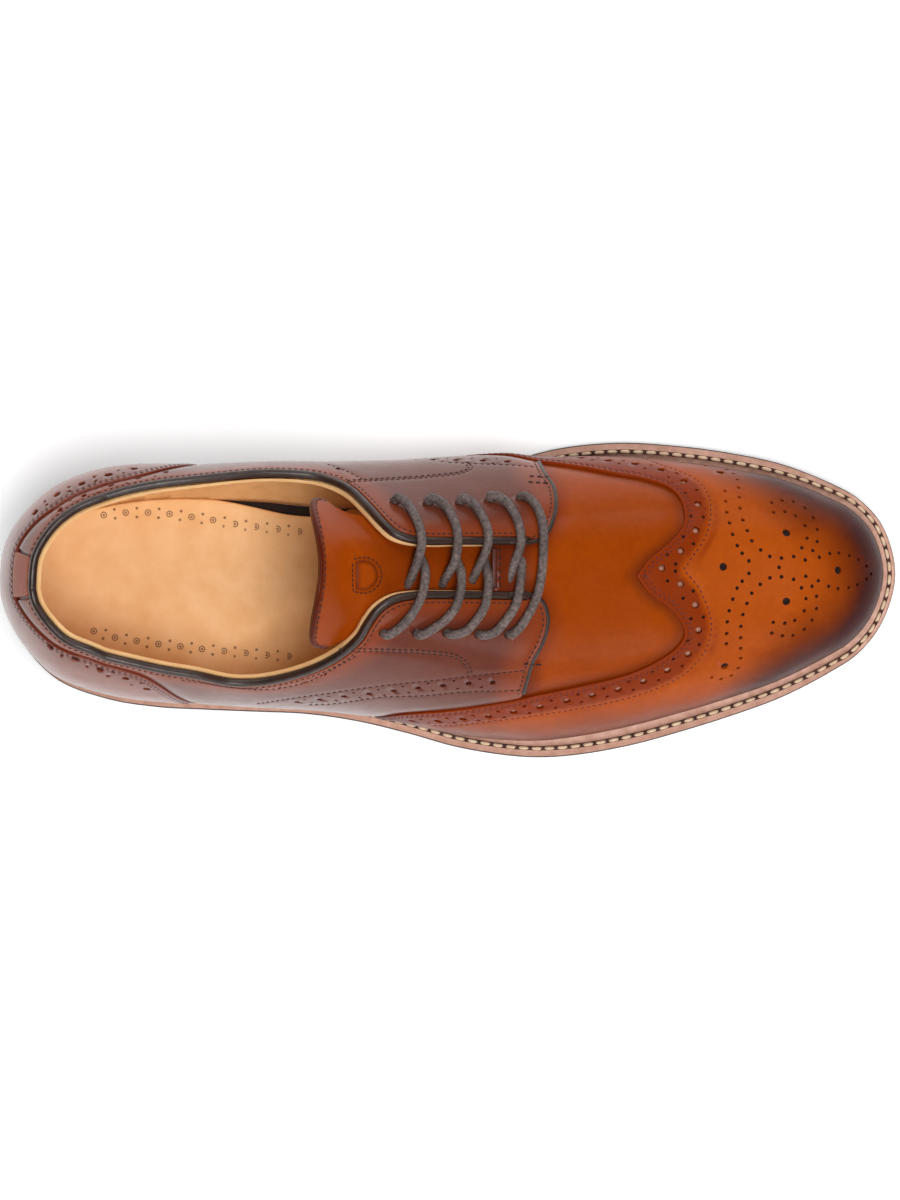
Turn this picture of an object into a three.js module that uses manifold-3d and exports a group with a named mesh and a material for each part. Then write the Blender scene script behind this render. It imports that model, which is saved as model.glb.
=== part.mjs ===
// Wing-tip brogue derby for the right foot, standing empty on its heel and forefoot.
// Millimetres. +X to the toe, +Y to the medial side, +Z up. The origin is the middle of the underside.

import * as THREE from 'three';
import { mergeVertices } from 'three/addons/utils/BufferGeometryUtils.js';
import Module from 'manifold-3d';

// Driving sizes
const LENGTH = 306.6;
const BALL_WIDTH = 109;
const INSTEP_RISE = 82.4;
const HEEL_HEIGHT = 20;
const TOE_SPRING = 9;
const OUTSOLE = 5;
const WELT = 3.2;
const WELT_RING = 13;
const TOP_PIECE = 6;
const INSOLE = 3.4;
const WALL = 2;
const LEATHER = 1.1;
const TONGUE = 2.5;
const BINDING_WIDTH = 2.5;
const BINDING_PROUD = 0.2;
const LACE = 3;
const LACE_SIDES = 8;
const LACE_HIDES = 3.4;
const EYELET = 5;
const EYELET_PAIRS = 5;
const GAP = 0.3;
const PANEL_GAP = 0.45;
const INSOLE_PLAY = 0.8;
const TONGUE_PLAY = 0.7;

// Stations along the foot, as shares of the length from the back of the heel.
// The ribs of the upper stand square to the foot between the two fans and turn round their centres beyond.
const HEEL_FAN = 0.132;
const TOE_FAN = 0.876;
const BREAST = 0.205;
const BALL_START = 0.58;
const BALL_END = 0.69;
const SLOT_END = 0.55;

// Edge of the sole. at: share of the length. y: share of the ball width.
const HEEL_BACK = [0, 0.057];
const TOE_TIP = [1, 0.089];
const SOLE_EDGE = {
  medial: [
    [0.014, 0.200], [0.059, 0.305], [0.115, 0.352], [0.171, 0.374], [0.227, 0.376], [0.284, 0.368],
    [0.340, 0.354], [0.396, 0.348], [0.452, 0.358], [0.508, 0.392], [0.565, 0.444], [0.621, 0.487],
    [0.691, 0.506], [0.762, 0.494], [0.818, 0.472], [0.874, 0.437], [0.930, 0.374], [0.959, 0.327],
    [0.986, 0.240],
  ],
  lateral: [
    [0.014, -0.085], [0.059, -0.237], [0.115, -0.302], [0.171, -0.329], [0.227, -0.338], [0.284, -0.345],
    [0.340, -0.353], [0.396, -0.377], [0.452, -0.416], [0.508, -0.461], [0.565, -0.488], [0.604, -0.494],
    [0.649, -0.484], [0.705, -0.455], [0.762, -0.411], [0.818, -0.361], [0.874, -0.302], [0.930, -0.219],
    [0.959, -0.163], [0.986, -0.062],
  ],
};

// How far the welt stands out beyond the upper. Columns: at, medial, lateral, in millimetres.
const REACH = [
  [0.00, 3.5, 3.5], [0.20, 3.5, 3.5], [0.36, 3.5, 3.1], [0.46, 3.9, 3.9], [0.56, 4.8, 5.6],
  [0.65, 6.0, 6.8], [0.80, 6.2, 6.8], [0.93, 5.8, 6.2], [1.00, 5.4, 5.4],
];

// Sections of the last. Columns: at, ridge y as a share of the ball width, rise as a share of the instep
// rise, then for the medial and the lateral wall how full it is and its bulge as a share of the ball width.
const SECTIONS = [
  [0.132, 0.041, 1.062, 2.10, 0.100, 1.55, 0.032],
  [0.227, 0.053, 1.092, 2.90, 0.083, 1.65, 0.028],
  [0.334, 0.069, 1.068, 3.50, 0.112, 1.85, 0.024],
  [0.432, 0.080, 1.000, 3.20, 0.124, 1.85, 0.014],
  [0.497, 0.082, 0.938, 2.90, 0.112, 1.90, 0.008],
  [0.563, 0.082, 0.848, 2.60, 0.075, 1.95, 0.005],
  [0.605, 0.082, 0.783, 2.45, 0.036, 1.95, 0.006],
  [0.661, 0.080, 0.704, 2.35, 0.018, 1.95, 0.007],
  [0.709, 0.080, 0.643, 2.35, 0.011, 2.00, 0.007],
  [0.775, 0.082, 0.561, 2.40, 0.007, 2.10, 0.007],
  [0.840, 0.085, 0.478, 2.45, 0.007, 2.25, 0.007],
  [0.876, 0.087, 0.432, 2.50, 0.007, 2.40, 0.007],
];
const HEEL_TIP_WALL = { full: 1.65, bulge: 0.035, slope: 0 };
const TOE_TIP_WALL = { full: 2.55, bulge: 0.007, slope: -0.24 };

// Lines on the upper. at: station of the rib. v: share of the way up the rib from the welt to the ridge.
const TOPLINE = {
  medial: [
    [0.000, 0.640], [0.035, 0.640], [0.068, 0.628], [0.103, 0.605], [0.135, 0.575], [0.175, 0.545],
    [0.210, 0.520], [0.263, 0.487], [0.305, 0.478], [0.345, 0.495], [0.367, 0.532], [0.388, 0.600],
    [0.412, 0.735], [0.425, 0.808], [0.440, 0.865], [0.463, 0.893], [0.520, 0.893], [0.585, 0.883],
  ],
  lateral: [
    [0.000, 0.640], [0.022, 0.643], [0.072, 0.655], [0.113, 0.650], [0.158, 0.600], [0.198, 0.555],
    [0.230, 0.525], [0.265, 0.485], [0.292, 0.500], [0.335, 0.575], [0.375, 0.680], [0.400, 0.775],
    [0.410, 0.838], [0.422, 0.892], [0.440, 0.930], [0.463, 0.944], [0.510, 0.946], [0.585, 0.940],
  ],
};
const FRONT = {
  medial: [[0.585, 0.883], [0.603, 0.845], [0.612, 0.765], [0.615, 0.695], [0.613, 0.590], [0.603, 0.475],
    [0.598, 0.360]],
  lateral: [[0.585, 0.940], [0.600, 0.905], [0.606, 0.840], [0.600, 0.750], [0.590, 0.680], [0.583, 0.585],
    [0.579, 0.515]],
};
const WING = {
  medial: [
    [0.703, 1.000], [0.715, 0.935], [0.743, 0.830], [0.755, 0.755], [0.756, 0.670], [0.750, 0.585],
    [0.738, 0.525], [0.710, 0.475], [0.675, 0.440], [0.633, 0.380], [0.598, 0.335], [0.540, 0.280],
    [0.480, 0.235], [0.440, 0.190], [0.420, 0.110], [0.410, 0.000],
  ],
  lateral: [
    [0.703, 1.000], [0.715, 0.935], [0.743, 0.845], [0.755, 0.765], [0.756, 0.720], [0.748, 0.665],
    [0.723, 0.600], [0.693, 0.560], [0.645, 0.535], [0.600, 0.515], [0.578, 0.495], [0.530, 0.445],
    [0.480, 0.365], [0.440, 0.260], [0.422, 0.140], [0.412, 0.000],
  ],
};
const COUNTER = {
  medial: [
    [0.000, 0.465], [0.033, 0.465], [0.060, 0.490], [0.080, 0.515], [0.105, 0.505], [0.133, 0.480],
    [0.168, 0.450], [0.193, 0.390], [0.217, 0.300], [0.230, 0.180], [0.238, 0.000],
  ],
  lateral: [
    [0.000, 0.465], [0.010, 0.470], [0.040, 0.525], [0.068, 0.555], [0.105, 0.575], [0.143, 0.540],
    [0.168, 0.500], [0.185, 0.425], [0.203, 0.280], [0.215, 0.150], [0.220, 0.000],
  ],
};
const BACK_STRIP = { medial: 0.033, lateral: 0.009 };
const TONGUE_EDGE = {
  medial: [[0.352, 0.640], [0.400, 0.700], [0.480, 0.720], [0.545, 0.740], [0.590, 0.800]],
  lateral: [[0.352, 0.700], [0.400, 0.730], [0.480, 0.750], [0.545, 0.780], [0.590, 0.830]],
};
const TONGUE_LIFT = [[0.352, 5.0], [0.366, 3.3], [0.380, 1.5], [0.392, 0.3], [0.400, 0], [0.590, 0]];

// Eyelets. Columns: first pair, last pair, as station and v.
const EYELETS = {
  medial: { from: [0.577, 0.668], to: [0.440, 0.690] },
  lateral: { from: [0.562, 0.792], to: [0.431, 0.805] },
};

// Grid of the upper: every patch on it is cut along the same lines.
const SOLE_STEPS = 34;
const HEEL_BLOCK_STEPS = 12;
const HEEL_STEPS = 4;
const MIDDLE_STEPS = 20;
const TOE_STEPS = 6;
const ROWS = [0, 0.09, 0.19, 0.30, 0.41, 0.52, 0.63, 0.74, 0.84, 0.93, 1];

// How finely lines are sampled, and how near two corners are when they are one.
const EDGE_STEPS = 8;
const RIB_STEPS = 40;
const TOPLINE_STEPS = 40;
const WING_STEPS = 30;
const COUNTER_STEPS = 18;
const FRONT_STEPS = 12;
const SAME_CORNER = 1e-3;

const COLOURS = {
  wing: 0x7c3a1c, vamp: 0xb0601c, quarter: 0x6e4034, binding: 0x35241f, lining: 0xdcae7c,
  sole: 0x4a3630, welt: 0xb98468, heel: 0x3c2a24, rubber: 0x1c1a1a, lace: 0x453b3a,
};

const wasm = await Module();
wasm.setup();

const SIDES = { medial: 1, lateral: -1 };

// Tables

function interpolate(rows, at) {
  const last = rows.length - 1;
  const x = Math.min(Math.max(at, rows[0][0]), rows[last][0]);
  let i = 0;
  while (i < last - 1 && x > rows[i + 1][0]) i += 1;
  const slope = (k, column) => (rows[k + 1][column] - rows[k][column]) / (rows[k + 1][0] - rows[k][0]);
  const tangent = (k, column) => {
    if (k === 0) return slope(0, column);
    if (k === last) return slope(last - 1, column);
    return (slope(k - 1, column) + slope(k, column)) / 2;
  };
  const width = rows[i + 1][0] - rows[i][0];
  const t = (x - rows[i][0]) / width;
  return rows[i].map((from, column) => {
    const to = rows[i + 1][column];
    return from * (2 * t ** 3 - 3 * t ** 2 + 1) + tangent(i, column) * width * (t ** 3 - 2 * t ** 2 + t)
      + to * (3 * t ** 2 - 2 * t ** 3) + tangent(i + 1, column) * width * (t ** 3 - t ** 2);
  });
}

function smooth(t) {
  return t * t * (3 - 2 * t);
}

// The sole

function soleBottom(at) {
  const arch = Math.min(Math.max((at - BREAST) / (BALL_START - BREAST), 0), 1);
  const toe = Math.max((at - BALL_END) / (1 - BALL_END), 0);
  return HEEL_HEIGHT * (0.5 + 0.5 * Math.cos(Math.PI * arch)) + TOE_SPRING * toe ** 1.8;
}

function weltTop(at) {
  return soleBottom(at) + OUTSOLE + GAP + WELT;
}

function soleOutline() {
  const rows = [HEEL_BACK, ...SOLE_EDGE.medial, TOE_TIP, ...SOLE_EDGE.lateral.toReversed()];
  const points = rows.map(([at, y]) => new THREE.Vector3(at * LENGTH, y * BALL_WIDTH, 0));
  const curve = new THREE.CatmullRomCurve3(points, true, 'centripetal');
  return curve.getPoints(rows.length * EDGE_STEPS).slice(0, -1);
}

// Moves a closed plan outline inwards. distance takes a point of the outline.
function inset(outline, distance) {
  const count = outline.length;
  return outline.map((point, i) => {
    const along = outline[(i + 1) % count].clone().sub(outline[(i + count - 1) % count]).normalize();
    return new THREE.Vector3(point.x + along.y * distance(point), point.y - along.x * distance(point), 0);
  });
}

const soleEdge = soleOutline();
const welted = (extra) => inset(soleEdge, (point) => {
  const [, medial, lateral] = interpolate(REACH, point.x / LENGTH);
  const middle = interpolate(SECTIONS, point.x / LENGTH)[1] * BALL_WIDTH;
  const share = Math.min(Math.max((point.y - middle) / BALL_WIDTH * 8 + 0.5, 0), 1);
  return lateral + (medial - lateral) * smooth(share) + extra;
});
const feather = welted(0);

// Both edges of a closed plan outline at x, or null outside it.
function widthAt(outline, x) {
  const hits = [];
  outline.forEach((a, i) => {
    const b = outline[(i + 1) % outline.length];
    if ((a.x <= x) !== (b.x <= x)) hits.push(a.y + (b.y - a.y) * (x - a.x) / (b.x - a.x));
  });
  return hits.length < 2 ? null : [Math.min(...hits), Math.max(...hits)];
}

// The upper's surface

const ribs = new Map();

function rib(side, at) {
  const key = `${side} ${at.toFixed(7)}`;
  if (!ribs.has(key)) ribs.set(key, makeRib(side, at));
  return ribs.get(key);
}

function makeRib(side, at) {
  let angle = Math.PI / 2;
  let mix = 0;
  let tip = TOE_TIP_WALL;
  if (at < HEEL_FAN) {
    mix = 1 - at / HEEL_FAN;
    angle = Math.PI / 2 * (1 + mix);
    tip = HEEL_TIP_WALL;
  } else if (at > TOE_FAN) {
    mix = (at - TOE_FAN) / (1 - TOE_FAN);
    angle = Math.PI / 2 * (1 - mix);
  }
  const station = Math.min(Math.max(at, HEEL_FAN), TOE_FAN);
  const row = interpolate(SECTIONS, station);
  const [full, bulge] = side > 0 ? [row[3], row[4]] : [row[5], row[6]];
  const blend = smooth(mix);
  const centre = new THREE.Vector2(station * LENGTH, row[1] * BALL_WIDTH);
  const out = new THREE.Vector2(Math.cos(angle), Math.sin(angle) * side);
  const reach = outlineReach(centre, out);
  const made = {
    centre,
    out,
    reach,
    foot: weltTop((centre.x + out.x * reach) / LENGTH) + GAP,
    top: weltTop(station) + row[2] * INSTEP_RISE,
    slope: mix > 0 ? tip.slope * out.x : 0,
    full: full + (tip.full - full) * blend,
    bulge: (bulge + (tip.bulge - bulge) * blend) * BALL_WIDTH,
  };
  made.turns = [];
  made.lengths = [0];
  let before = null;
  for (let i = 0; i <= RIB_STEPS; i += 1) {
    const turn = Math.PI / 2 * i / RIB_STEPS;
    const here = ribPoint(made, turn);
    if (before) made.lengths.push(made.lengths[i - 1] + here.distanceTo(before));
    made.turns.push(turn);
    before = here;
  }
  return made;
}

function outlineReach(centre, out) {
  let reach = 0;
  feather.forEach((a, i) => {
    const b = feather[(i + 1) % feather.length];
    const sideA = (a.x - centre.x) * out.y - (a.y - centre.y) * out.x;
    const sideB = (b.x - centre.x) * out.y - (b.y - centre.y) * out.x;
    if (sideA * sideB > 0 || sideA === sideB) return;
    const t = sideA / (sideA - sideB);
    const hit = new THREE.Vector2(a.x + (b.x - a.x) * t, a.y + (b.y - a.y) * t);
    reach = Math.max(reach, hit.sub(centre).dot(out));
  });
  return reach;
}

// Point of a rib at a turn of 0 at the welt and a quarter at the ridge. The rib is a superellipse with a
// bulge, which is greatest, one whole bulge, at a third of the height.
function ribPoint(from, turn) {
  const c = Math.max(Math.cos(turn), 0);
  const s = Math.sin(turn);
  const round = (c ** from.full + s ** from.full) ** (1 / from.full);
  const up = s / round;
  const inner = from.reach * c / round;
  const distance = inner + from.bulge * up * (1 - up) ** 2 * 27 / 4;
  return new THREE.Vector3(
    from.centre.x + from.out.x * distance,
    from.centre.y + from.out.y * distance,
    from.foot + (from.top + from.slope * inner - from.foot) * up,
  );
}

// Folds a place over the heel's back, the toe's tip or the ridge onto the other side.
function folded(side, at, v) {
  if (at < 0) return folded(-side, -at, v);
  if (at > 1) return folded(-side, 2 - at, v);
  if (v > 1) return folded(-side, at, 2 - v);
  return [side, at, v];
}

function skin(sideIn, atIn, vIn) {
  const [side, at, v] = folded(sideIn, atIn, vIn);
  const from = rib(side, at);
  const last = from.lengths.length - 1;
  const wanted = Math.max(v, 0) * from.lengths[last];
  let i = 1;
  while (i < last && from.lengths[i] < wanted) i += 1;
  const t = (wanted - from.lengths[i - 1]) / (from.lengths[i] - from.lengths[i - 1]);
  return ribPoint(from, from.turns[i - 1] + (from.turns[i] - from.turns[i - 1]) * t);
}

function normalAt(side, at, v) {
  const step = 0.004;
  const low = Math.min(Math.max(v, 0.03), 0.97);
  const along = skin(side, at + step, low).sub(skin(side, at - step, low));
  const up = skin(side, at, low + step).sub(skin(side, at, low - step));
  return up.cross(along).multiplyScalar(side).normalize();
}

function lifted(side, at, v, lift) {
  return skin(side, at, v).addScaledVector(normalAt(side, at, v), lift);
}

// Meshes

function solidOf(positions) {
  const raw = new THREE.BufferGeometry();
  raw.setAttribute('position', new THREE.Float32BufferAttribute(positions, 3));
  const merged = mergeVertices(raw, SAME_CORNER);
  const index = merged.getIndex().array;
  const kept = [];
  for (let i = 0; i < index.length; i += 3) {
    const [a, b, c] = [index[i], index[i + 1], index[i + 2]];
    if (a !== b && b !== c && c !== a) kept.push(a, b, c);
  }
  merged.setIndex(kept);
  return merged;
}

function toManifold(geometry) {
  const bare = geometry.clone();
  bare.deleteAttribute('normal');
  bare.deleteAttribute('uv');
  const merged = mergeVertices(bare, SAME_CORNER);
  return new wasm.Manifold(new wasm.Mesh({
    numProp: 3,
    vertProperties: new Float32Array(merged.getAttribute('position').array),
    triVerts: new Uint32Array(merged.getIndex().array),
  }));
}

function fromManifold(manifold) {
  const mesh = manifold.getMesh();
  const geometry = new THREE.BufferGeometry();
  geometry.setAttribute('position', new THREE.BufferAttribute(new Float32Array(mesh.vertProperties), 3));
  geometry.setIndex(new THREE.BufferAttribute(new Uint32Array(mesh.triVerts), 1));
  return geometry;
}

// Patches of the upper

function gridStations() {
  const stations = [];
  for (let i = 0; i < HEEL_STEPS; i += 1) stations.push(HEEL_FAN * i / HEEL_STEPS);
  for (let i = 0; i < MIDDLE_STEPS; i += 1) {
    stations.push(HEEL_FAN + (TOE_FAN - HEEL_FAN) * i / MIDDLE_STEPS);
  }
  for (let i = 0; i <= TOE_STEPS; i += 1) stations.push(TOE_FAN + (1 - TOE_FAN) * i / TOE_STEPS);
  return stations;
}

const stations = gridStations();

// Keeps the part of a polygon where the given coordinate is beyond a limit.
function clip(polygon, axis, limit, sign) {
  const kept = [];
  polygon.forEach((a, i) => {
    const b = polygon[(i + 1) % polygon.length];
    const inA = sign * (a[axis] - limit) >= 0;
    const inB = sign * (b[axis] - limit) >= 0;
    if (inA) kept.push(a);
    if (inA !== inB) {
      const t = (limit - a[axis]) / (b[axis] - a[axis]);
      const cut = [a[0] + (b[0] - a[0]) * t, a[1] + (b[1] - a[1]) * t];
      cut[axis] = limit;
      kept.push(cut);
    }
  });
  return kept;
}

function area(polygon) {
  return THREE.ShapeUtils.area(polygon.map(([x, y]) => new THREE.Vector2(x, y)));
}

// Cuts an outline on one side of the upper into the cells of the grid.
function cells(outline) {
  const pieces = [];
  for (let i = 0; i + 1 < stations.length; i += 1) {
    const strip = clip(clip(outline, 0, stations[i], 1), 0, stations[i + 1], -1);
    if (strip.length < 3) continue;
    for (let j = 0; j + 1 < ROWS.length; j += 1) {
      const cell = clip(clip(strip, 1, ROWS[j], 1), 1, ROWS[j + 1], -1);
      if (cell.length > 2 && Math.abs(area(cell)) > 1e-8) pieces.push(cell);
    }
  }
  return pieces;
}

// Triangles of a cell. A whole cell is always split from its lowest and rearmost corner, so that the sheets
// that lie over each other have the same facets.
function trianglesOf(cell) {
  const ring = area(cell) < 0 ? cell.toReversed() : cell;
  const sums = ring.map(([at, v]) => at + v);
  const first = sums.indexOf(Math.min(...sums));
  const turned = [...ring.slice(first), ...ring.slice(0, first)];
  const [a, b, c, d] = turned;
  if (turned.length === 4) return [[a, b, c], [a, c, d]];
  return THREE.ShapeUtils.triangulateShape(turned.map(([x, y]) => new THREE.Vector2(x, y)), [])
    .map((triangle) => triangle.map((i) => turned[i]));
}

// A closed sheet over outlines on the medial and lateral sides. Both lifts off the surface depend on at.
function sheet(outlines, outer, inner) {
  const corners = [];
  const corner = (side, at, v) => {
    const place = skin(side, at, v);
    let known = corners.find((other) => other.place.distanceTo(place) < SAME_CORNER);
    if (!known) {
      known = {
        name: corners.length,
        place,
        outer: lifted(side, at, v, outer(at)),
        inner: lifted(side, at, v, inner(at)),
      };
      corners.push(known);
    }
    return known;
  };
  const faces = [];
  Object.entries(outlines).forEach(([name, outline]) => {
    cells(outline).flatMap(trianglesOf).forEach((triangle) => {
      const face = triangle.map(([at, v]) => corner(SIDES[name], at, v));
      if (SIDES[name] > 0) face.reverse();
      faces.push(face);
    });
  });
  return closedSheet(faces);
}

// Gives faces of corners their outer and inner sides, and walls along the open edges.
function closedSheet(faces) {
  const positions = [];
  const edges = new Map();
  const push = (...points) => points.forEach((point) => positions.push(point.x, point.y, point.z));
  faces.forEach(([a, b, c]) => {
    if (a === b || b === c || c === a) return;
    push(a.outer, b.outer, c.outer);
    push(a.inner, c.inner, b.inner);
    [[a, b], [b, c], [c, a]].forEach(([p, q]) => {
      const back = `${q.name} ${p.name}`;
      if (edges.has(back)) edges.delete(back);
      else edges.set(`${p.name} ${q.name}`, [p, q]);
    });
  });
  edges.forEach(([p, q]) => {
    push(p.outer, p.inner, q.inner);
    push(p.outer, q.inner, q.outer);
  });
  return solidOf(positions);
}

// The places before and after one in a line. A line crosses the heel's back squarely.
function neighbours(line, i) {
  const after = line[Math.min(i + 1, line.length - 1)];
  if (i > 0) return [line[i - 1], after];
  return [line[0][0] === 0 ? [-after[0], after[1]] : line[0], after];
}

// Moves a line on the upper sideways by a distance in millimetres, away from the opening when it is plus.
function shifted(side, line, distance) {
  return line.map(([at, v], i) => {
    const [before, after] = neighbours(line, i);
    const here = skin(side, at, v);
    const step = 0.002;
    const along = skin(side, at + step, v).sub(here).multiplyScalar(1 / step);
    const up = skin(side, at, v + step).sub(here).multiplyScalar(1 / step);
    const tangent = along.clone().multiplyScalar(after[0] - before[0])
      .addScaledVector(up, after[1] - before[1]).normalize();
    const away = normalAt(side, at, v).cross(tangent).multiplyScalar(side * distance);
    const [aa, au, uu] = [along.dot(along), along.dot(up), up.dot(up)];
    const [wa, wu] = [away.dot(along), away.dot(up)];
    const det = aa * uu - au * au;
    return [at + (wa * uu - wu * au) / det, v + (wu * aa - wa * au) / det];
  });
}

function sampled(line, steps) {
  const curve = new THREE.CatmullRomCurve3(line.map(([at, v]) => new THREE.Vector3(at, v, 0)), false,
    'centripetal');
  return curve.getSpacedPoints(steps).map((point) => [point.x, point.y]);
}

// The part of a line on the upper between two stations.
function between(line, from, to) {
  const cut = [];
  line.forEach(([at, v], i) => {
    if (at >= from && at <= to) cut.push([at, v]);
    const next = line[i + 1];
    if (!next) return;
    [from, to].forEach((limit) => {
      if ((at - limit) * (next[0] - limit) < 0) {
        cut.push([limit, v + (next[1] - v) * (limit - at) / (next[0] - at)]);
      }
    });
  });
  return cut.sort((a, b) => a[0] - b[0]);
}

// Point above a plan position between the fans, lifted off the upper's surface.
function above(x, y, lift) {
  const at = x / LENGTH;
  const side = y > rib(1, at).centre.y ? 1 : -1;
  let [low, high] = [0.4, 1];
  while (high - low > 1e-7) {
    const middle = (low + high) / 2;
    if ((skin(side, at, middle).y - y) * side > 0) low = middle;
    else high = middle;
  }
  return lifted(side, at, high, lift);
}

// Plates under the foot

// A plate within a plan outline, as far as x = to. Its underside and top are functions of at.
function plate(outline, bottom, top, steps, to = Infinity) {
  const xs = outline.map((point) => point.x);
  const start = Math.min(...xs);
  const end = Math.min(Math.max(...xs), to);
  const rounded = end < to;
  const sections = [];
  for (let i = 0; i <= steps; i += 1) {
    const share = rounded ? (1 - Math.cos(Math.PI * i / steps)) / 2 : 1 - Math.cos(Math.PI / 2 * i / steps);
    const x = start + (end - start) * share;
    const tip = (i === 0 || (rounded && i === steps)) && outline.find((point) => point.x === x);
    const [low, high] = tip ? [tip.y, tip.y] : widthAt(outline, x);
    const at = x / LENGTH;
    sections.push([
      [x, low, bottom(at)], [x, high, bottom(at)], [x, high, top(at)], [x, low, top(at)],
    ]);
  }
  const positions = [];
  const quad = (a, b, c, d) => positions.push(...a, ...b, ...c, ...a, ...c, ...d);
  sections.slice(1).forEach((section, i) => {
    const before = sections[i];
    section.forEach((_, k) => quad(before[k], before[(k + 1) % 4], section[(k + 1) % 4], section[k]));
  });
  quad(...sections[0].toReversed());
  quad(...sections[steps]);
  return solidOf(positions);
}

const heelEnd = BREAST * LENGTH;

function makeOutsole() {
  return plate(soleEdge, soleBottom, (at) => soleBottom(at) + OUTSOLE, SOLE_STEPS);
}

function makeWelt() {
  const under = (at) => soleBottom(at) + OUTSOLE + GAP;
  const whole = plate(soleEdge, under, weltTop, SOLE_STEPS);
  const hole = plate(inset(soleEdge, () => WELT_RING), (at) => under(at) - WELT, (at) => weltTop(at) + WELT,
    SOLE_STEPS);
  return fromManifold(toManifold(whole).subtract(toManifold(hole)));
}

function makeHeel() {
  return plate(soleEdge, () => TOP_PIECE + GAP, (at) => soleBottom(at) - GAP, HEEL_BLOCK_STEPS, heelEnd);
}

function makeTopPiece() {
  return plate(soleEdge, () => 0, () => TOP_PIECE, HEEL_BLOCK_STEPS, heelEnd);
}

function makeInsole() {
  const edge = welted(LEATHER + PANEL_GAP + WALL + INSOLE_PLAY);
  return plate(edge, (at) => weltTop(at) + GAP, (at) => weltTop(at) + GAP + INSOLE, SOLE_STEPS);
}

// The upper and its panels

const outside = () => 0;
const panelInside = () => -LEATHER;
const vampOutside = () => -LEATHER - PANEL_GAP;
const vampInside = () => -LEATHER - PANEL_GAP - WALL;

const topline = {
  medial: sampled(TOPLINE.medial, TOPLINE_STEPS),
  lateral: sampled(TOPLINE.lateral, TOPLINE_STEPS),
};
const wingLine = { medial: sampled(WING.medial, WING_STEPS), lateral: sampled(WING.lateral, WING_STEPS) };
const counterLine = {
  medial: sampled(COUNTER.medial, COUNTER_STEPS),
  lateral: sampled(COUNTER.lateral, COUNTER_STEPS),
};

// A shifted line that still starts at the heel's back, at the same place on both sides.
function beside(name, line, distance) {
  const moved = shifted(SIDES[name], line, distance);
  const start = line[0][1] - distance / rib(SIDES[name], 0).lengths.at(-1);
  return [[0, start], ...moved.slice(1).filter(([at]) => at > 0)];
}

function boundEdge(name) {
  return between(beside(name, between(topline[name], 0, SLOT_END), BINDING_WIDTH + GAP), 0, SLOT_END);
}

function eyelet(name, pair) {
  const { from, to } = EYELETS[name];
  const share = pair / (EYELET_PAIRS - 1);
  return [from[0] + (to[0] - from[0]) * share, from[1] + (to[1] - from[1]) * share];
}

function punched(geometry, names) {
  let solid = toManifold(geometry);
  names.forEach((name) => {
    for (let pair = 0; pair < EYELET_PAIRS; pair += 1) {
      const [at, v] = eyelet(name, pair);
      const depth = LEATHER + PANEL_GAP + WALL;
      const punch = new THREE.CylinderGeometry(EYELET / 2, EYELET / 2, depth * 3, LACE_SIDES);
      const normal = normalAt(SIDES[name], at, v);
      punch.applyQuaternion(new THREE.Quaternion().setFromUnitVectors(new THREE.Vector3(0, 1, 0), normal));
      punch.translate(...lifted(SIDES[name], at, v, -depth / 2).toArray());
      solid = solid.subtract(toManifold(punch));
    }
  });
  return fromManifold(solid);
}

function makeUpper() {
  const outlines = {};
  Object.keys(SIDES).forEach((name) => {
    const edge = boundEdge(name);
    const corner = edge[edge.length - 1];
    outlines[name] = [[0, 0], [1, 0], [1, 1], [SLOT_END, 1], [SLOT_END, corner[1]],
      ...edge.slice(0, -1).toReversed()];
  });
  return punched(sheet(outlines, vampOutside, vampInside), Object.keys(SIDES));
}

function makeWing() {
  const outlines = {};
  Object.keys(SIDES).forEach((name) => {
    outlines[name] = [...wingLine[name], [1, 0], [1, 1]];
  });
  return sheet(outlines, outside, panelInside);
}

function makeCounter() {
  const outlines = {};
  Object.keys(SIDES).forEach((name) => {
    outlines[name] = [...counterLine[name], [0, 0]];
  });
  return sheet(outlines, outside, panelInside);
}

function makeBackStrip() {
  const outlines = {};
  Object.keys(SIDES).forEach((name) => {
    const foot = between(beside(name, counterLine[name], -PANEL_GAP), 0, BACK_STRIP[name]);
    outlines[name] = [...foot, ...between(boundEdge(name), 0, BACK_STRIP[name]).toReversed()];
  });
  return sheet(outlines, outside, panelInside);
}

function makeQuarter(name) {
  const side = SIDES[name];
  const rear = BACK_STRIP[name] + 1.5 * PANEL_GAP / LENGTH;
  const bound = between(boundEdge(name), rear, SLOT_END);
  const facing = between(topline[name], SLOT_END + PANEL_GAP / LENGTH, 1).slice(0, -1);
  const front = sampled(FRONT[name], FRONT_STEPS);
  const underFront = wingLine[name].filter(([at]) => at < front.at(-1)[0]);
  const overWing = shifted(side, underFront, PANEL_GAP);
  const overCounter = beside(name, counterLine[name], -PANEL_GAP);
  const counterEdge = overCounter.filter(([at]) => at > rear);
  const outline = [...bound, ...facing, ...front, ...overWing, ...counterEdge.toReversed(),
    [rear, between(overCounter, 0, rear).at(-1)[1]]];
  return punched(sheet({ [name]: outline }, outside, panelInside), [name]);
}

function makeTongue() {
  const lift = (at) => vampInside() - TONGUE_PLAY + interpolate(TONGUE_LIFT, at)[1];
  const outlines = {};
  Object.keys(SIDES).forEach((name) => {
    const edge = sampled(TONGUE_EDGE[name], FRONT_STEPS);
    outlines[name] = [...edge, [edge.at(-1)[0], 1], [edge[0][0], 1]];
  });
  return sheet(outlines, lift, (at) => lift(at) - TONGUE);
}

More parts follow.
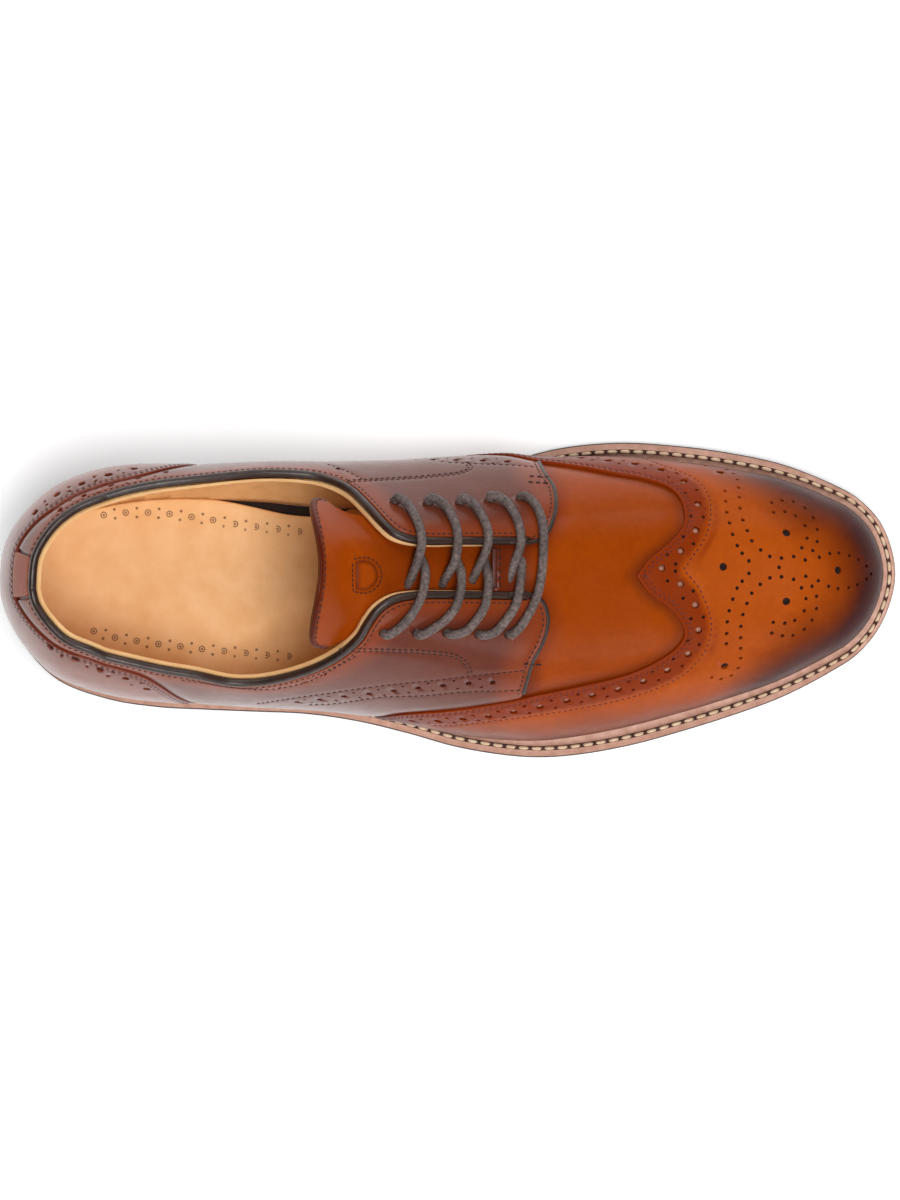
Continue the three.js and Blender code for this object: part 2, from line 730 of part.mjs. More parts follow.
function makeBinding() {
  const lines = Object.fromEntries(Object.keys(SIDES).map((name) => {
    const edge = between(topline[name], 0, SLOT_END);
    const lower = shifted(SIDES[name], edge, BINDING_WIDTH);
    lower[0][0] = 0;
    return [name, edge.map((place, i) => [SIDES[name], place, lower[i]])];
  }));
  const path = [...lines.lateral.toReversed(), ...lines.medial.slice(1)];
  const rings = path.map(([side, edge, lower]) => [
    [edge, vampInside()], [edge, BINDING_PROUD], [lower, BINDING_PROUD], [lower, vampInside()],
  ].map(([place, lift]) => lifted(side, ...place, lift).toArray()));
  const positions = [];
  const quad = (a, b, c, d) => positions.push(...a, ...b, ...c, ...a, ...c, ...d);
  rings.slice(1).forEach((ring, i) => {
    ring.forEach((_, k) => quad(rings[i][k], ring[k], ring[(k + 1) % 4], rings[i][(k + 1) % 4]));
  });
  quad(...rings[0]);
  quad(...rings[rings.length - 1].toReversed());
  return solidOf(positions);
}

// The laces

function strand(points) {
  const path = new THREE.CatmullRomCurve3(points, false, 'centripetal');
  const corners = Array.from({ length: LACE_SIDES }, (_, i) => {
    const turn = Math.PI * 2 * i / LACE_SIDES;
    return new THREE.Vector2(Math.cos(turn), Math.sin(turn)).multiplyScalar(LACE / 2);
  });
  const steps = Math.round(path.getLength() / (LACE * 1.5));
  const shape = new THREE.Shape(corners);
  return new THREE.ExtrudeGeometry(shape, { steps, bevelEnabled: false, extrudePath: path });
}

// Columns: share of the way across from the eyelet, forward shift in millimetres, lift off the surface.
const STRANDS = {
  medial: [[0, 0, 0.8], [0.03, 1.4, 1.9], [0.09, 3.8, 2.1], [0.22, 6.1, 2.0], [0.36, 7.6, 2.2],
    [0.51, 8.5, 2.0], [0.63, 8.4, 0.9], [0.76, 8.0, -0.8], [0.88, 7.4, -1.5], [1, 7.0, -1.7]],
  lateral: [[0, 0, 0.8], [0.03, 1.4, 1.9], [0.10, 4.0, 2.1], [0.22, 7.3, 2.0], [0.38, 9.8, 2.3],
    [0.55, 11.1, 2.1], [0.66, 11.8, 1.0], [0.79, 12.3, -0.8], [0.90, 12.4, -1.5], [1, 12.1, -1.7]],
};
const BAR = [[0, 0, 0.8], [0.03, 1.6, 1.9], [0.07, 3.6, 2.1], [0.14, 6.2, 2.1], [0.26, 7.8, 2.4],
  [0.42, 8.3, 1.6], [0.58, 8.6, 1.6], [0.72, 7.7, 2.4], [0.86, 5.6, 2.1], [0.94, 3.4, 2.1],
  [0.98, 1.4, 1.9], [1, 0, 0.8]];

// Lays a strand from one place to another. In front of the slot it lies on the vamp.
function across(from, to, rows) {
  const onVamp = vampOutside() + GAP + LACE / 2;
  return rows.map(([share, forward, lift]) => {
    const x = from.x + (to.x - from.x) * share + forward;
    const least = x > SLOT_END * LENGTH - LACE ? onVamp : lift;
    return above(x, from.y + (to.y - from.y) * share, Math.max(lift, least));
  });
}

function makeCrossing(pair) {
  const solids = Object.keys(SIDES).map((name) => {
    const other = name === 'medial' ? 'lateral' : 'medial';
    const from = skin(SIDES[name], ...eyelet(name, pair));
    const far = eyelet(name, pair)[0] + STRANDS[name].at(-1)[1] / LENGTH;
    const edge = skin(SIDES[other], ...between(topline[other], far, 1)[0]);
    const to = { x: from.x, y: edge.y + SIDES[name] * LACE_HIDES };
    return toManifold(strand(across(from, to, STRANDS[name])));
  });
  return fromManifold(solids[0].add(solids[1]));
}

function makeBar() {
  const from = skin(1, ...eyelet('medial', 0));
  const to = skin(-1, ...eyelet('lateral', 0));
  return strand(across(from, to, BAR));
}

// Assembly

function material(colour, roughness) {
  return new THREE.MeshStandardMaterial({ color: colour, roughness, metalness: 0 });
}

const shoe = new THREE.Group();

function addPiece(name, geometry, colour, roughness) {
  const mesh = new THREE.Mesh(geometry, material(colour, roughness));
  mesh.name = name;
  shoe.add(mesh);
}

addPiece('outsole', makeOutsole(), COLOURS.sole, 0.6);
addPiece('welt', makeWelt(), COLOURS.welt, 0.6);
addPiece('heel_block', makeHeel(), COLOURS.heel, 0.5);
addPiece('heel_top_piece', makeTopPiece(), COLOURS.rubber, 0.8);
addPiece('insole', makeInsole(), COLOURS.lining, 0.6);
addPiece('upper', makeUpper(), COLOURS.vamp, 0.35);
addPiece('wing_cap', makeWing(), COLOURS.wing, 0.3);
addPiece('heel_counter', makeCounter(), COLOURS.wing, 0.35);
addPiece('back_strip', makeBackStrip(), COLOURS.quarter, 0.35);
addPiece('quarter_medial', makeQuarter('medial'), COLOURS.quarter, 0.35);
addPiece('quarter_lateral', makeQuarter('lateral'), COLOURS.quarter, 0.35);
addPiece('binding', makeBinding(), COLOURS.binding, 0.5);
addPiece('tongue', makeTongue(), COLOURS.vamp, 0.4);
addPiece('lace_bar_1', makeBar(), COLOURS.lace, 0.7);
for (let pair = 1; pair < EYELET_PAIRS; pair += 1) {
  addPiece(`lace_crossing_${pair + 1}`, makeCrossing(pair), COLOURS.lace, 0.7);
}

const box = new THREE.Box3().setFromObject(shoe);
const centre = box.getCenter(new THREE.Vector3());
shoe.position.set(-centre.x, -centre.y, -box.min.z);

export default shoe;
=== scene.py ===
import math

import bpy
import numpy as np
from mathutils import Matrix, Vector
from mathutils.geometry import delaunay_2d_cdt


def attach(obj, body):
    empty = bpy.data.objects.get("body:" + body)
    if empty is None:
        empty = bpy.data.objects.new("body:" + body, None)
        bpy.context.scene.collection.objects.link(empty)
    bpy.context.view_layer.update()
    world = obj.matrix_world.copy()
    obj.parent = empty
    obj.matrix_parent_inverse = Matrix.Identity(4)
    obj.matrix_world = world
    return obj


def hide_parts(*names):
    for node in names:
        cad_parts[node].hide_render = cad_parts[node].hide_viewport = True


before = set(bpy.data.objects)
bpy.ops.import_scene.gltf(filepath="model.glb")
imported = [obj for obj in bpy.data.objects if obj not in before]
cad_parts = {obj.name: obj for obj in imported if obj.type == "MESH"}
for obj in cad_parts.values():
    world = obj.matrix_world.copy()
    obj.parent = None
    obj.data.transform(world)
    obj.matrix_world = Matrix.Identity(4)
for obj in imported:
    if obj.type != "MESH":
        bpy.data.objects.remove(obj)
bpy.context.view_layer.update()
MM = 0.001

# Driving sizes, as in the part
LENGTH = 306.6
BALL_WIDTH = 109
INSTEP_RISE = 82.4
HEEL_HEIGHT = 20
TOE_SPRING = 9
OUTSOLE = 5
WELT = 3.2
WELT_RING = 13
TOP_PIECE = 6
INSOLE = 3.4
WALL = 2
LEATHER = 1.1
TONGUE = 2.5
BINDING_WIDTH = 2.5
LACE = 3
GAP = 0.3
PANEL_GAP = 0.45
HEEL_FAN = 0.132
TOE_FAN = 0.876
BREAST = 0.205
BALL_START = 0.58
BALL_END = 0.69
SLOT_END = 0.55

SOLE_EDGE = [
    (0, 0.057), (0.014, 0.200), (0.059, 0.305), (0.115, 0.352), (0.171, 0.374), (0.227, 0.376),
    (0.284, 0.368), (0.340, 0.354), (0.396, 0.348), (0.452, 0.358), (0.508, 0.392), (0.565, 0.444),
    (0.621, 0.487), (0.691, 0.506), (0.762, 0.494), (0.818, 0.472), (0.874, 0.437), (0.930, 0.374),
    (0.959, 0.327), (0.986, 0.240), (1, 0.089), (0.986, -0.062), (0.959, -0.163), (0.930, -0.219),
    (0.874, -0.302), (0.818, -0.361), (0.762, -0.411), (0.705, -0.455), (0.649, -0.484),
    (0.604, -0.494), (0.565, -0.488), (0.508, -0.461), (0.452, -0.416), (0.396, -0.377),
    (0.340, -0.353), (0.284, -0.345), (0.227, -0.338), (0.171, -0.329), (0.115, -0.302),
    (0.059, -0.237), (0.014, -0.085),
]
# Columns: at, medial, lateral
REACH = [
    (0.00, 3.5, 3.5), (0.20, 3.5, 3.5), (0.36, 3.5, 3.1), (0.46, 3.9, 3.9), (0.56, 4.8, 5.6),
    (0.65, 6.0, 6.8), (0.80, 6.2, 6.8), (0.93, 5.8, 6.2), (1.00, 5.4, 5.4),
]
# Columns: at, ridge y, rise, medial full, medial bulge, lateral full, lateral bulge
SECTIONS = [
    (0.132, 0.041, 1.062, 2.10, 0.100, 1.55, 0.032), (0.227, 0.053, 1.092, 2.90, 0.083, 1.65, 0.028),
    (0.334, 0.069, 1.068, 3.50, 0.112, 1.85, 0.024), (0.432, 0.080, 1.000, 3.20, 0.124, 1.85, 0.014),
    (0.497, 0.082, 0.938, 2.90, 0.112, 1.90, 0.008), (0.563, 0.082, 0.848, 2.60, 0.075, 1.95, 0.005),
    (0.605, 0.082, 0.783, 2.45, 0.036, 1.95, 0.006), (0.661, 0.080, 0.704, 2.35, 0.018, 1.95, 0.007),
    (0.709, 0.080, 0.643, 2.35, 0.011, 2.00, 0.007), (0.775, 0.082, 0.561, 2.40, 0.007, 2.10, 0.007),
    (0.840, 0.085, 0.478, 2.45, 0.007, 2.25, 0.007), (0.876, 0.087, 0.432, 2.50, 0.007, 2.40, 0.007),
]
HEEL_TIP_WALL = (1.65, 0.035, 0)
TOE_TIP_WALL = (2.55, 0.007, -0.24)

# Lines on the upper, as in the part. Columns: at, share of the way up the rib
TOPLINE = {
    1: [(0.000, 0.640), (0.035, 0.640), (0.068, 0.628), (0.103, 0.605), (0.135, 0.575), (0.175, 0.545),
        (0.210, 0.520), (0.263, 0.487), (0.305, 0.478), (0.345, 0.495), (0.367, 0.532), (0.388, 0.600),
        (0.412, 0.735), (0.425, 0.808), (0.440, 0.865), (0.463, 0.893), (0.520, 0.893), (0.585, 0.883)],
    -1: [(0.000, 0.640), (0.022, 0.643), (0.072, 0.655), (0.113, 0.650), (0.158, 0.600), (0.198, 0.555),
         (0.230, 0.525), (0.265, 0.485), (0.292, 0.500), (0.335, 0.575), (0.375, 0.680), (0.400, 0.775),
         (0.410, 0.838), (0.422, 0.892), (0.440, 0.930), (0.463, 0.944), (0.510, 0.946), (0.585, 0.940)],
}
FRONT = {
    1: [(0.585, 0.883), (0.603, 0.845), (0.612, 0.765), (0.615, 0.695), (0.613, 0.590), (0.603, 0.475),
        (0.598, 0.360)],
    -1: [(0.585, 0.940), (0.600, 0.905), (0.606, 0.840), (0.600, 0.750), (0.590, 0.680), (0.583, 0.585),
         (0.579, 0.515)],
}
WING = {
    1: [(0.703, 1.000), (0.715, 0.935), (0.743, 0.830), (0.755, 0.755), (0.756, 0.670), (0.750, 0.585),
        (0.738, 0.525), (0.710, 0.475), (0.675, 0.440), (0.633, 0.380), (0.598, 0.335), (0.540, 0.280),
        (0.480, 0.235), (0.440, 0.190), (0.420, 0.110), (0.410, 0.000)],
    -1: [(0.703, 1.000), (0.715, 0.935), (0.743, 0.845), (0.755, 0.765), (0.756, 0.720), (0.748, 0.665),
         (0.723, 0.600), (0.693, 0.560), (0.645, 0.535), (0.600, 0.515), (0.578, 0.495), (0.530, 0.445),
         (0.480, 0.365), (0.440, 0.260), (0.422, 0.140), (0.412, 0.000)],
}
COUNTER = {
    1: [(0.000, 0.465), (0.033, 0.465), (0.060, 0.490), (0.080, 0.515), (0.105, 0.505), (0.133, 0.480),
        (0.168, 0.450), (0.193, 0.390), (0.217, 0.300), (0.230, 0.180), (0.238, 0.000)],
    -1: [(0.000, 0.465), (0.010, 0.470), (0.040, 0.525), (0.068, 0.555), (0.105, 0.575), (0.143, 0.540),
         (0.168, 0.500), (0.185, 0.425), (0.203, 0.280), (0.215, 0.150), (0.220, 0.000)],
}
BACK_STRIP = {1: 0.033, -1: 0.009}
TONGUE_EDGE = {
    1: [(0.352, 0.640), (0.400, 0.700), (0.480, 0.720), (0.545, 0.740), (0.590, 0.800)],
    -1: [(0.352, 0.700), (0.400, 0.730), (0.480, 0.750), (0.545, 0.780), (0.590, 0.830)],
}
# Columns: at, lift
TONGUE_LIFT = [(0.352, 5.0), (0.366, 3.3), (0.380, 1.5), (0.392, 0.3), (0.400, 0), (0.430, -0.4),
               (0.450, -1.3), (0.545, -1.3), (0.560, -0.4), (0.590, 0)]

# Camera over the floor, looking straight down
CAMERA_HEIGHT = 1500
PIXELS_PER_MM = 2.88
IMAGE_MIDDLE = (450, 600)


def interpolate(rows, at):
    """Smooth table lookup; one column after another for each at."""
    rows = np.asarray(rows, float)
    x, y = rows[:, 0], rows[:, 1:]
    slope = np.diff(y, axis=0) / np.diff(x)[:, None]
    tangent = np.vstack([slope[:1], (slope[1:] + slope[:-1]) / 2, slope[-1:]])
    at = np.clip(np.atleast_1d(np.asarray(at, float)), x[0], x[-1])
    i = np.clip(np.searchsorted(x, at, side="right") - 1, 0, len(x) - 2)
    width = (x[i + 1] - x[i])[:, None]
    t = ((at - x[i]) / width[:, 0])[:, None]
    return (y[i] * (2 * t**3 - 3 * t**2 + 1) + tangent[i] * width * (t**3 - 2 * t**2 + t)
            + y[i + 1] * (3 * t**2 - 2 * t**3) + tangent[i + 1] * width * (t**3 - t**2))


def smooth(t):
    t = np.clip(t, 0, 1)
    return t * t * (3 - 2 * t)


def resample(line, spacing, closed=False):
    """Points along a line at an even spacing."""
    line = np.asarray(line, float)
    if closed:
        line = np.vstack([line, line[:1]])
    run = np.concatenate([[0], np.cumsum(np.linalg.norm(np.diff(line, axis=0), axis=1))])
    count = max(int(round(run[-1] / spacing)), 3 if closed else 1)
    wanted = np.linspace(0, run[-1], count + 1)
    even = np.stack([np.interp(wanted, run, line[:, k]) for k in range(line.shape[1])], 1)
    return even[:-1] if closed else even


def curve(points, spacing, closed=False):
    """Centripetal spline through points."""
    p = np.asarray(points, float)
    q = np.vstack([p[-1:], p, p[:2]]) if closed else np.vstack([2 * p[0] - p[1], p, 2 * p[-1] - p[-2]])
    t = np.linspace(0, 1, 12, endpoint=False)[:, None]
    out = []
    for a, b, c, d in zip(q, q[1:], q[2:], q[3:]):
        ta, tb, tc = [max(np.linalg.norm(e), 1e-9) ** 0.5 for e in (b - a, c - b, d - c)]
        m = tb * ((b - a) / ta - (c - a) / (ta + tb) + (c - b) / tb)
        n = tb * ((c - b) / tb - (d - b) / (tb + tc) + (d - c) / tc)
        out.append(b + m * t + (-3 * b + 3 * c - 2 * m - n) * t**2 + (2 * b - 2 * c + m + n) * t**3)
    if not closed:
        out.append(p[-1:])
    return resample(np.vstack(out), spacing, closed)


# The sole's outline and heights

def sole_bottom(at):
    arch = np.clip((at - BREAST) / (BALL_START - BREAST), 0, 1)
    toe = np.clip((at - BALL_END) / (1 - BALL_END), 0, None)
    return HEEL_HEIGHT * (0.5 + 0.5 * np.cos(np.pi * arch)) + TOE_SPRING * toe**1.8


def welt_top(at):
    return sole_bottom(at) + OUTSOLE + GAP + WELT


def inset(outline, distance):
    along = np.roll(outline, -1, 0) - np.roll(outline, 1, 0)
    along /= np.linalg.norm(along, axis=1)[:, None]
    return outline + np.stack([along[:, 1], -along[:, 0]], 1) * np.reshape(distance, (-1, 1))


sole_edge = curve([(at * LENGTH, y * BALL_WIDTH) for at, y in SOLE_EDGE], 0.9, closed=True)
MIDDLE_Y = (sole_edge[:, 1].max() + sole_edge[:, 1].min()) / 2


def reach_at(outline):
    medial, lateral = interpolate(REACH, outline[:, 0] / LENGTH).T
    middle = interpolate(SECTIONS, outline[:, 0] / LENGTH)[:, 0] * BALL_WIDTH
    return lateral + (medial - lateral) * smooth((outline[:, 1] - middle) / BALL_WIDTH * 8 + 0.5)


feather = inset(sole_edge, reach_at(sole_edge))

# The upper's surface, sampled along the foot and up each rib
STATIONS = np.concatenate([np.linspace(0, HEEL_FAN, 41)[:-1], np.linspace(HEEL_FAN, TOE_FAN, 261)[:-1],
                           np.linspace(TOE_FAN, 1, 49)])
UPS = np.linspace(0, 1, 141)


def reach_from(centre, out):
    a, b = feather, np.roll(feather, -1, 0)
    side_a = (a[:, 0] - centre[0]) * out[1] - (a[:, 1] - centre[1]) * out[0]
    side_b = (b[:, 0] - centre[0]) * out[1] - (b[:, 1] - centre[1]) * out[0]
    hit = side_a * side_b <= 0
    t = side_a[hit] / (side_a[hit] - side_b[hit] + 1e-12)
    return ((a[hit] + (b[hit] - a[hit]) * t[:, None] - centre) @ out).max()


def make_rib(side, at):
    mix, angle, tip = 0.0, math.pi / 2, TOE_TIP_WALL
    if at < HEEL_FAN:
        mix, tip = 1 - at / HEEL_FAN, HEEL_TIP_WALL
        angle = math.pi / 2 * (1 + mix)
    elif at > TOE_FAN:
        mix = (at - TOE_FAN) / (1 - TOE_FAN)
        angle = math.pi / 2 * (1 - mix)
    station = min(max(at, HEEL_FAN), TOE_FAN)
    row = interpolate(SECTIONS, station)[0]
    full, bulge = row[2:4] if side > 0 else row[4:6]
    blend = float(smooth(mix))
    centre = np.array([station * LENGTH, row[0] * BALL_WIDTH])
    out = np.array([math.cos(angle), math.sin(angle) * side])
    reach = reach_from(centre, out)
    foot = float(welt_top((centre[0] + out[0] * reach) / LENGTH)) + GAP
    top = float(welt_top(station)) + row[1] * INSTEP_RISE
    full += (tip[0] - full) * blend
    bulge = (bulge + (tip[1] - bulge) * blend) * BALL_WIDTH
    slope = tip[2] * out[0] if mix > 0 else 0
    turn = np.linspace(0, math.pi / 2, 161)
    c, s = np.clip(np.cos(turn), 0, 1), np.sin(turn)
    round_ = (c**full + s**full) ** (1 / full)
    up, inner = s / round_, reach * c / round_
    distance = inner + bulge * up * (1 - up) ** 2 * 27 / 4
    points = np.stack([centre[0] + out[0] * distance, centre[1] + out[1] * distance,
                       foot + (top + slope * inner - foot) * up], 1)
    run = np.concatenate([[0], np.cumsum(np.linalg.norm(np.diff(points, axis=0), axis=1))])
    even = np.stack([np.interp(UPS * run[-1], run, points[:, k]) for k in range(3)], 1)
    return even, run[-1], centre, out


made = {side: [make_rib(side, at) for at in STATIONS] for side in (1, -1)}
GRID = {side: np.array([rib[0] for rib in made[side]]) for side in (1, -1)}
RIB_LENGTH = {side: np.array([rib[1] for rib in made[side]]) for side in (1, -1)}
RIDGE_Y = np.array([rib[2][1] for rib in made[1]])


def grid_normals(side):
    """Normals of one half, with the other half's ribs beyond the heel's back and the toe's tip."""
    grid, other = GRID[side], GRID[-side]
    padded = np.concatenate([other[2:0:-1], grid, other[-2:-4:-1]])
    along = np.gradient(padded, axis=0)
    up = np.gradient(padded, axis=1)
    normal = np.cross(up, along)[2:-2] * side
    normal[:, -1] = normal[:, -2]
    return normal / np.maximum(np.linalg.norm(normal, axis=2), 1e-9)[:, :, None]


NORMALS = {side: grid_normals(side) for side in (1, -1)}


def at_grid(grid, at, v):
    i = np.clip(np.searchsorted(STATIONS, at, side="right") - 1, 0, len(STATIONS) - 2)
    s = ((at - STATIONS[i]) / (STATIONS[i + 1] - STATIONS[i]))[:, None]
    w = np.clip(v, 0, 1) * (len(UPS) - 1)
    j = np.clip(w.astype(int), 0, len(UPS) - 2)
    t = (w - j)[:, None]
    return ((grid[i, j] * (1 - t) + grid[i, j + 1] * t) * (1 - s)
            + (grid[i + 1, j] * (1 - t) + grid[i + 1, j + 1] * t) * s)


# The chart: the upper laid flat, each rib stretched out from the ridge in its own direction

def rib_length(side, at):
    return np.where(side > 0, np.interp(at, STATIONS, RIB_LENGTH[1]), np.interp(at, STATIONS, RIB_LENGTH[-1]))


def chart(side, at, v):
    at = np.atleast_1d(np.asarray(at, float))
    v = np.broadcast_to(np.asarray(v, float), at.shape)
    side = np.broadcast_to(side, at.shape)
    heel = np.clip(1 - at / HEEL_FAN, 0, 1)
    toe = np.clip((at - TOE_FAN) / (1 - TOE_FAN), 0, 1)
    angle = math.pi / 2 * (1 + heel - toe)
    length = rib_length(side, at)
    far = length * (1 - v)
    x = np.clip(at, HEEL_FAN, TOE_FAN) * LENGTH + np.cos(angle) * far
    return np.stack([x, np.interp(at, STATIONS, RIDGE_Y) + np.sin(angle) * side * far], 1)


def unchart(places):
    """side, at and v of places in the chart"""
    x, y = places.T
    at = np.clip(x / LENGTH, HEEL_FAN, TOE_FAN)
    dy = y - np.interp(at, STATIONS, RIDGE_Y)
    dx = x - at * LENGTH
    side = np.where(dy >= 0, 1, -1)
    far = np.hypot(dx, dy)
    turned = np.arctan2(np.abs(dx), np.abs(dy) + 1e-12) / (math.pi / 2)
    at = np.where(x < HEEL_FAN * LENGTH, HEEL_FAN * (1 - turned), at)
    at = np.where(x > TOE_FAN * LENGTH, TOE_FAN + (1 - TOE_FAN) * turned, at)
    length = rib_length(side, at)
    return side, at, 1 - far / length


def surface(places, lift=0.0):
    """Points above places in the chart, in the frame, and the normals there."""
    places = np.atleast_2d(places)
    side, at, v = unchart(places)
    points = np.where(side[:, None] > 0, at_grid(GRID[1], at, v), at_grid(GRID[-1], at, v))
    normals = np.where(side[:, None] > 0, at_grid(NORMALS[1], at, v), at_grid(NORMALS[-1], at, v))
    normals /= np.linalg.norm(normals, axis=1)[:, None]
    points = points - [LENGTH / 2, MIDDLE_Y, 0]
    return points + normals * np.reshape(lift, (-1, 1)), normals


def project(points):
    scale = PIXELS_PER_MM * CAMERA_HEIGHT / (CAMERA_HEIGHT - points[:, 2])
    return np.stack([IMAGE_MIDDLE[0] + scale * points[:, 0], IMAGE_MIDDLE[1] - scale * points[:, 1]], 1)


# Places that the camera sees, for looking up pixels
seen_places, seen_pixels = [], []
for side in (1, -1):
    at, v = [a.ravel() for a in np.meshgrid(STATIONS[::2], UPS[::2], indexing="ij")]
    places = chart(side, at, v)
    points, normals = surface(places)
    facing = normals[:, 2] > 0.03
    seen_places.append(places[facing])
    seen_pixels.append(project(points[facing]))
seen_places, seen_pixels = np.vstack(seen_places), np.vstack(seen_pixels)


def at_pixels(pixels):
    """Places in the chart that show at pixels of the photograph."""
    pixels = np.atleast_2d(np.asarray(pixels, float))
    near = np.array([np.argmin(((seen_pixels - p) ** 2).sum(1)) for p in pixels])
    places = seen_places[near].copy()
    step = 0.05
    for _ in range(4):
        here = project(surface(places)[0])
        dx = (project(surface(places + [step, 0])[0]) - here) / step
        dy = (project(surface(places + [0, step])[0]) - here) / step
        det = dx[:, 0] * dy[:, 1] - dx[:, 1] * dy[:, 0]
        det = np.where(np.abs(det) < 0.05, 0.05, det)
        miss = pixels - here
        move = np.stack([(miss[:, 0] * dy[:, 1] - miss[:, 1] * dy[:, 0]) / det,
                         (dx[:, 0] * miss[:, 1] - dx[:, 1] * miss[:, 0]) / det], 1)
        size = np.linalg.norm(move, axis=1)[:, None]
        places = places + move * np.minimum(1, 1.5 / np.maximum(size, 1e-9))
    return places


def chart_line(side, rows):
    rows = np.asarray(rows, float)
    return chart(side, rows[:, 0], rows[:, 1])


def sideways(line, distance, closed=False):
    """Moves a line in the chart to its left by a distance."""
    if closed:
        along = np.roll(line, -1, 0) - np.roll(line, 1, 0)
    else:
        along = np.gradient(line, axis=0)
    along /= np.maximum(np.linalg.norm(along, axis=1), 1e-9)[:, None]
    return line + np.stack([-along[:, 1], along[:, 0]], 1) * np.reshape(distance, (-1, 1))


def distance_to(points, line):
    """Distance of each point to a polyline."""
    best = np.full(len(points), 1e9)
    for a, b in zip(line, line[1:]):
        ab = b - a
        t = np.clip(((points - a) @ ab) / max(ab @ ab, 1e-12), 0, 1)
        best = np.minimum(best, np.hypot(*(points - a - t[:, None] * ab).T))
    return best


def inside(points, loop):
    x, y = points.T
    odd = np.zeros(len(points), bool)
    for (ax, ay), (bx, by) in zip(loop, np.roll(loop, -1, 0)):
        crosses = (ay > y) != (by > y)
        if crosses.any():
            odd ^= crosses & (x < (bx - ax) * (y - ay) / (by - ay + 1e-15) + ax)
    return odd


# Meshes

def add_mesh(name, points, faces, slot, material, replaces=(), walls=0, layers=None):
    mesh = bpy.data.meshes.new(name)
    mesh.from_pydata((np.asarray(points) * MM).tolist(), [], [tuple(int(i) for i in f) for f in faces])
    mesh.validate()
    for key, values in (layers or {}).items():
        layer = mesh.attributes.new(key, "FLOAT", "POINT")
        layer.data.foreach_set("value", np.asarray(values, np.float32))
    soft = [True] * len(mesh.polygons)
    if walls:
        soft[-walls:] = [False] * walls
    mesh.polygons.foreach_set("use_smooth", soft)
    piece = bpy.data.objects.new(name, mesh)
    bpy.context.scene.collection.objects.link(piece)
    mesh.materials.append(material)
    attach(piece, "root")
    if replaces:
        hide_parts(*replaces)
    return piece


def circle_in_chart(place, radius, count=12):
    """A round hole on the surface, as places in the chart."""
    step = 0.1
    base = surface(place)[0][0]
    ex = (surface(place + [step, 0])[0][0] - base) / step
    ey = (surface(place + [0, step])[0][0] - base) / step
    jac = np.stack([ex, ey], 1)
    u = ex / np.linalg.norm(ex)
    w = ey - u * (ey @ u)
    w /= np.linalg.norm(w)
    turn = np.arange(count) / count * 2 * math.pi
    ring = radius * (np.cos(turn)[:, None] * u + np.sin(turn)[:, None] * w)
    return place + np.linalg.lstsq(jac, ring.T, rcond=None)[0].T


def fill(loop, holes, pitch, rows=()):
    """Triangles of a flat region: its border, holes, rows of points along the border and points between."""
    loops = [np.asarray(loop)] + [np.asarray(hole) for hole in holes]
    owner = np.concatenate([np.full(len(one), k - 1) for k, one in enumerate(loops)])
    fixed = np.vstack(loops)
    edges, start = [], 0
    for one in loops:
        edges += [(start + i, start + (i + 1) % len(one)) for i in range(len(one))]
        start += len(one)
    extra = [np.asarray(row) for row in rows]
    if extra:
        extra = np.vstack(extra)
        extra = extra[inside(extra, loops[0])]
        extra = thinned(extra, fixed, 0.13)
    else:
        extra = np.zeros((0, 2))
    low, high = loops[0].min(0), loops[0].max(0)
    xs = np.arange(low[0], high[0], pitch)
    ys = np.arange(low[1], high[1], pitch * 0.87)
    gx, gy = np.meshgrid(xs, ys)
    gx[1::2] += pitch / 2
    mid = np.stack([gx.ravel(), gy.ravel()], 1)
    mid = mid[inside(mid, loops[0])]
    mid = thinned(mid, np.vstack([fixed, extra]), pitch * 0.62)
    everything = np.vstack([fixed, extra, mid])
    for k, hole in enumerate(loops[1:]):
        centre, size = hole.mean(0), np.linalg.norm(hole - hole.mean(0), axis=1).max()
        close = np.linalg.norm(everything - centre, axis=1) < size
        close[:len(fixed)] = False
        everything[close] = np.nan
    keep = ~np.isnan(everything[:, 0])
    everything = everything[keep]
    result = delaunay_2d_cdt([Vector(p) for p in everything.tolist()], edges, [], 0, 1e-6)
    verts = np.array([(p.x, p.y) for p in result[0]])
    tris = np.array([f for f in result[2] if len(f) == 3])
    mine = np.full(len(verts), -9)
    for new, old in enumerate(result[3]):
        for one in old:
            if one < len(owner):
                mine[new] = owner[one]
    tags = mine[tris]
    in_hole = (tags[:, 0] >= 0) & (tags[:, 0] == tags[:, 1]) & (tags[:, 1] == tags[:, 2])
    tris = tris[~in_hole]
    tris = tris[inside(verts[tris].mean(1), loops[0])]
    a, b, c = verts[tris[:, 0]], verts[tris[:, 1]], verts[tris[:, 2]]
    turn = (b[:, 0] - a[:, 0]) * (c[:, 1] - a[:, 1]) - (b[:, 1] - a[:, 1]) * (c[:, 0] - a[:, 0])
    tris[turn < 0] = tris[turn < 0][:, ::-1]
    return verts, tris[np.abs(turn) > 1e-9]


def thinned(points, fixed, least):
    """Leaves out points nearer than least to fixed ones."""
    cell = max(least, 0.4)
    table = {}
    for i, (x, y) in enumerate(fixed.tolist()):
        table.setdefault((int(x // cell), int(y // cell)), []).append(i)
    keep = []
    for k, (x, y) in enumerate(points.tolist()):
        cx, cy = int(x // cell), int(y // cell)
        near = [i for dx in (-1, 0, 1) for dy in (-1, 0, 1) for i in table.get((cx + dx, cy + dy), ())]
        if not near or np.min(np.hypot(fixed[near, 0] - x, fixed[near, 1] - y)) >= least:
            keep.append(k)
    return points[keep]


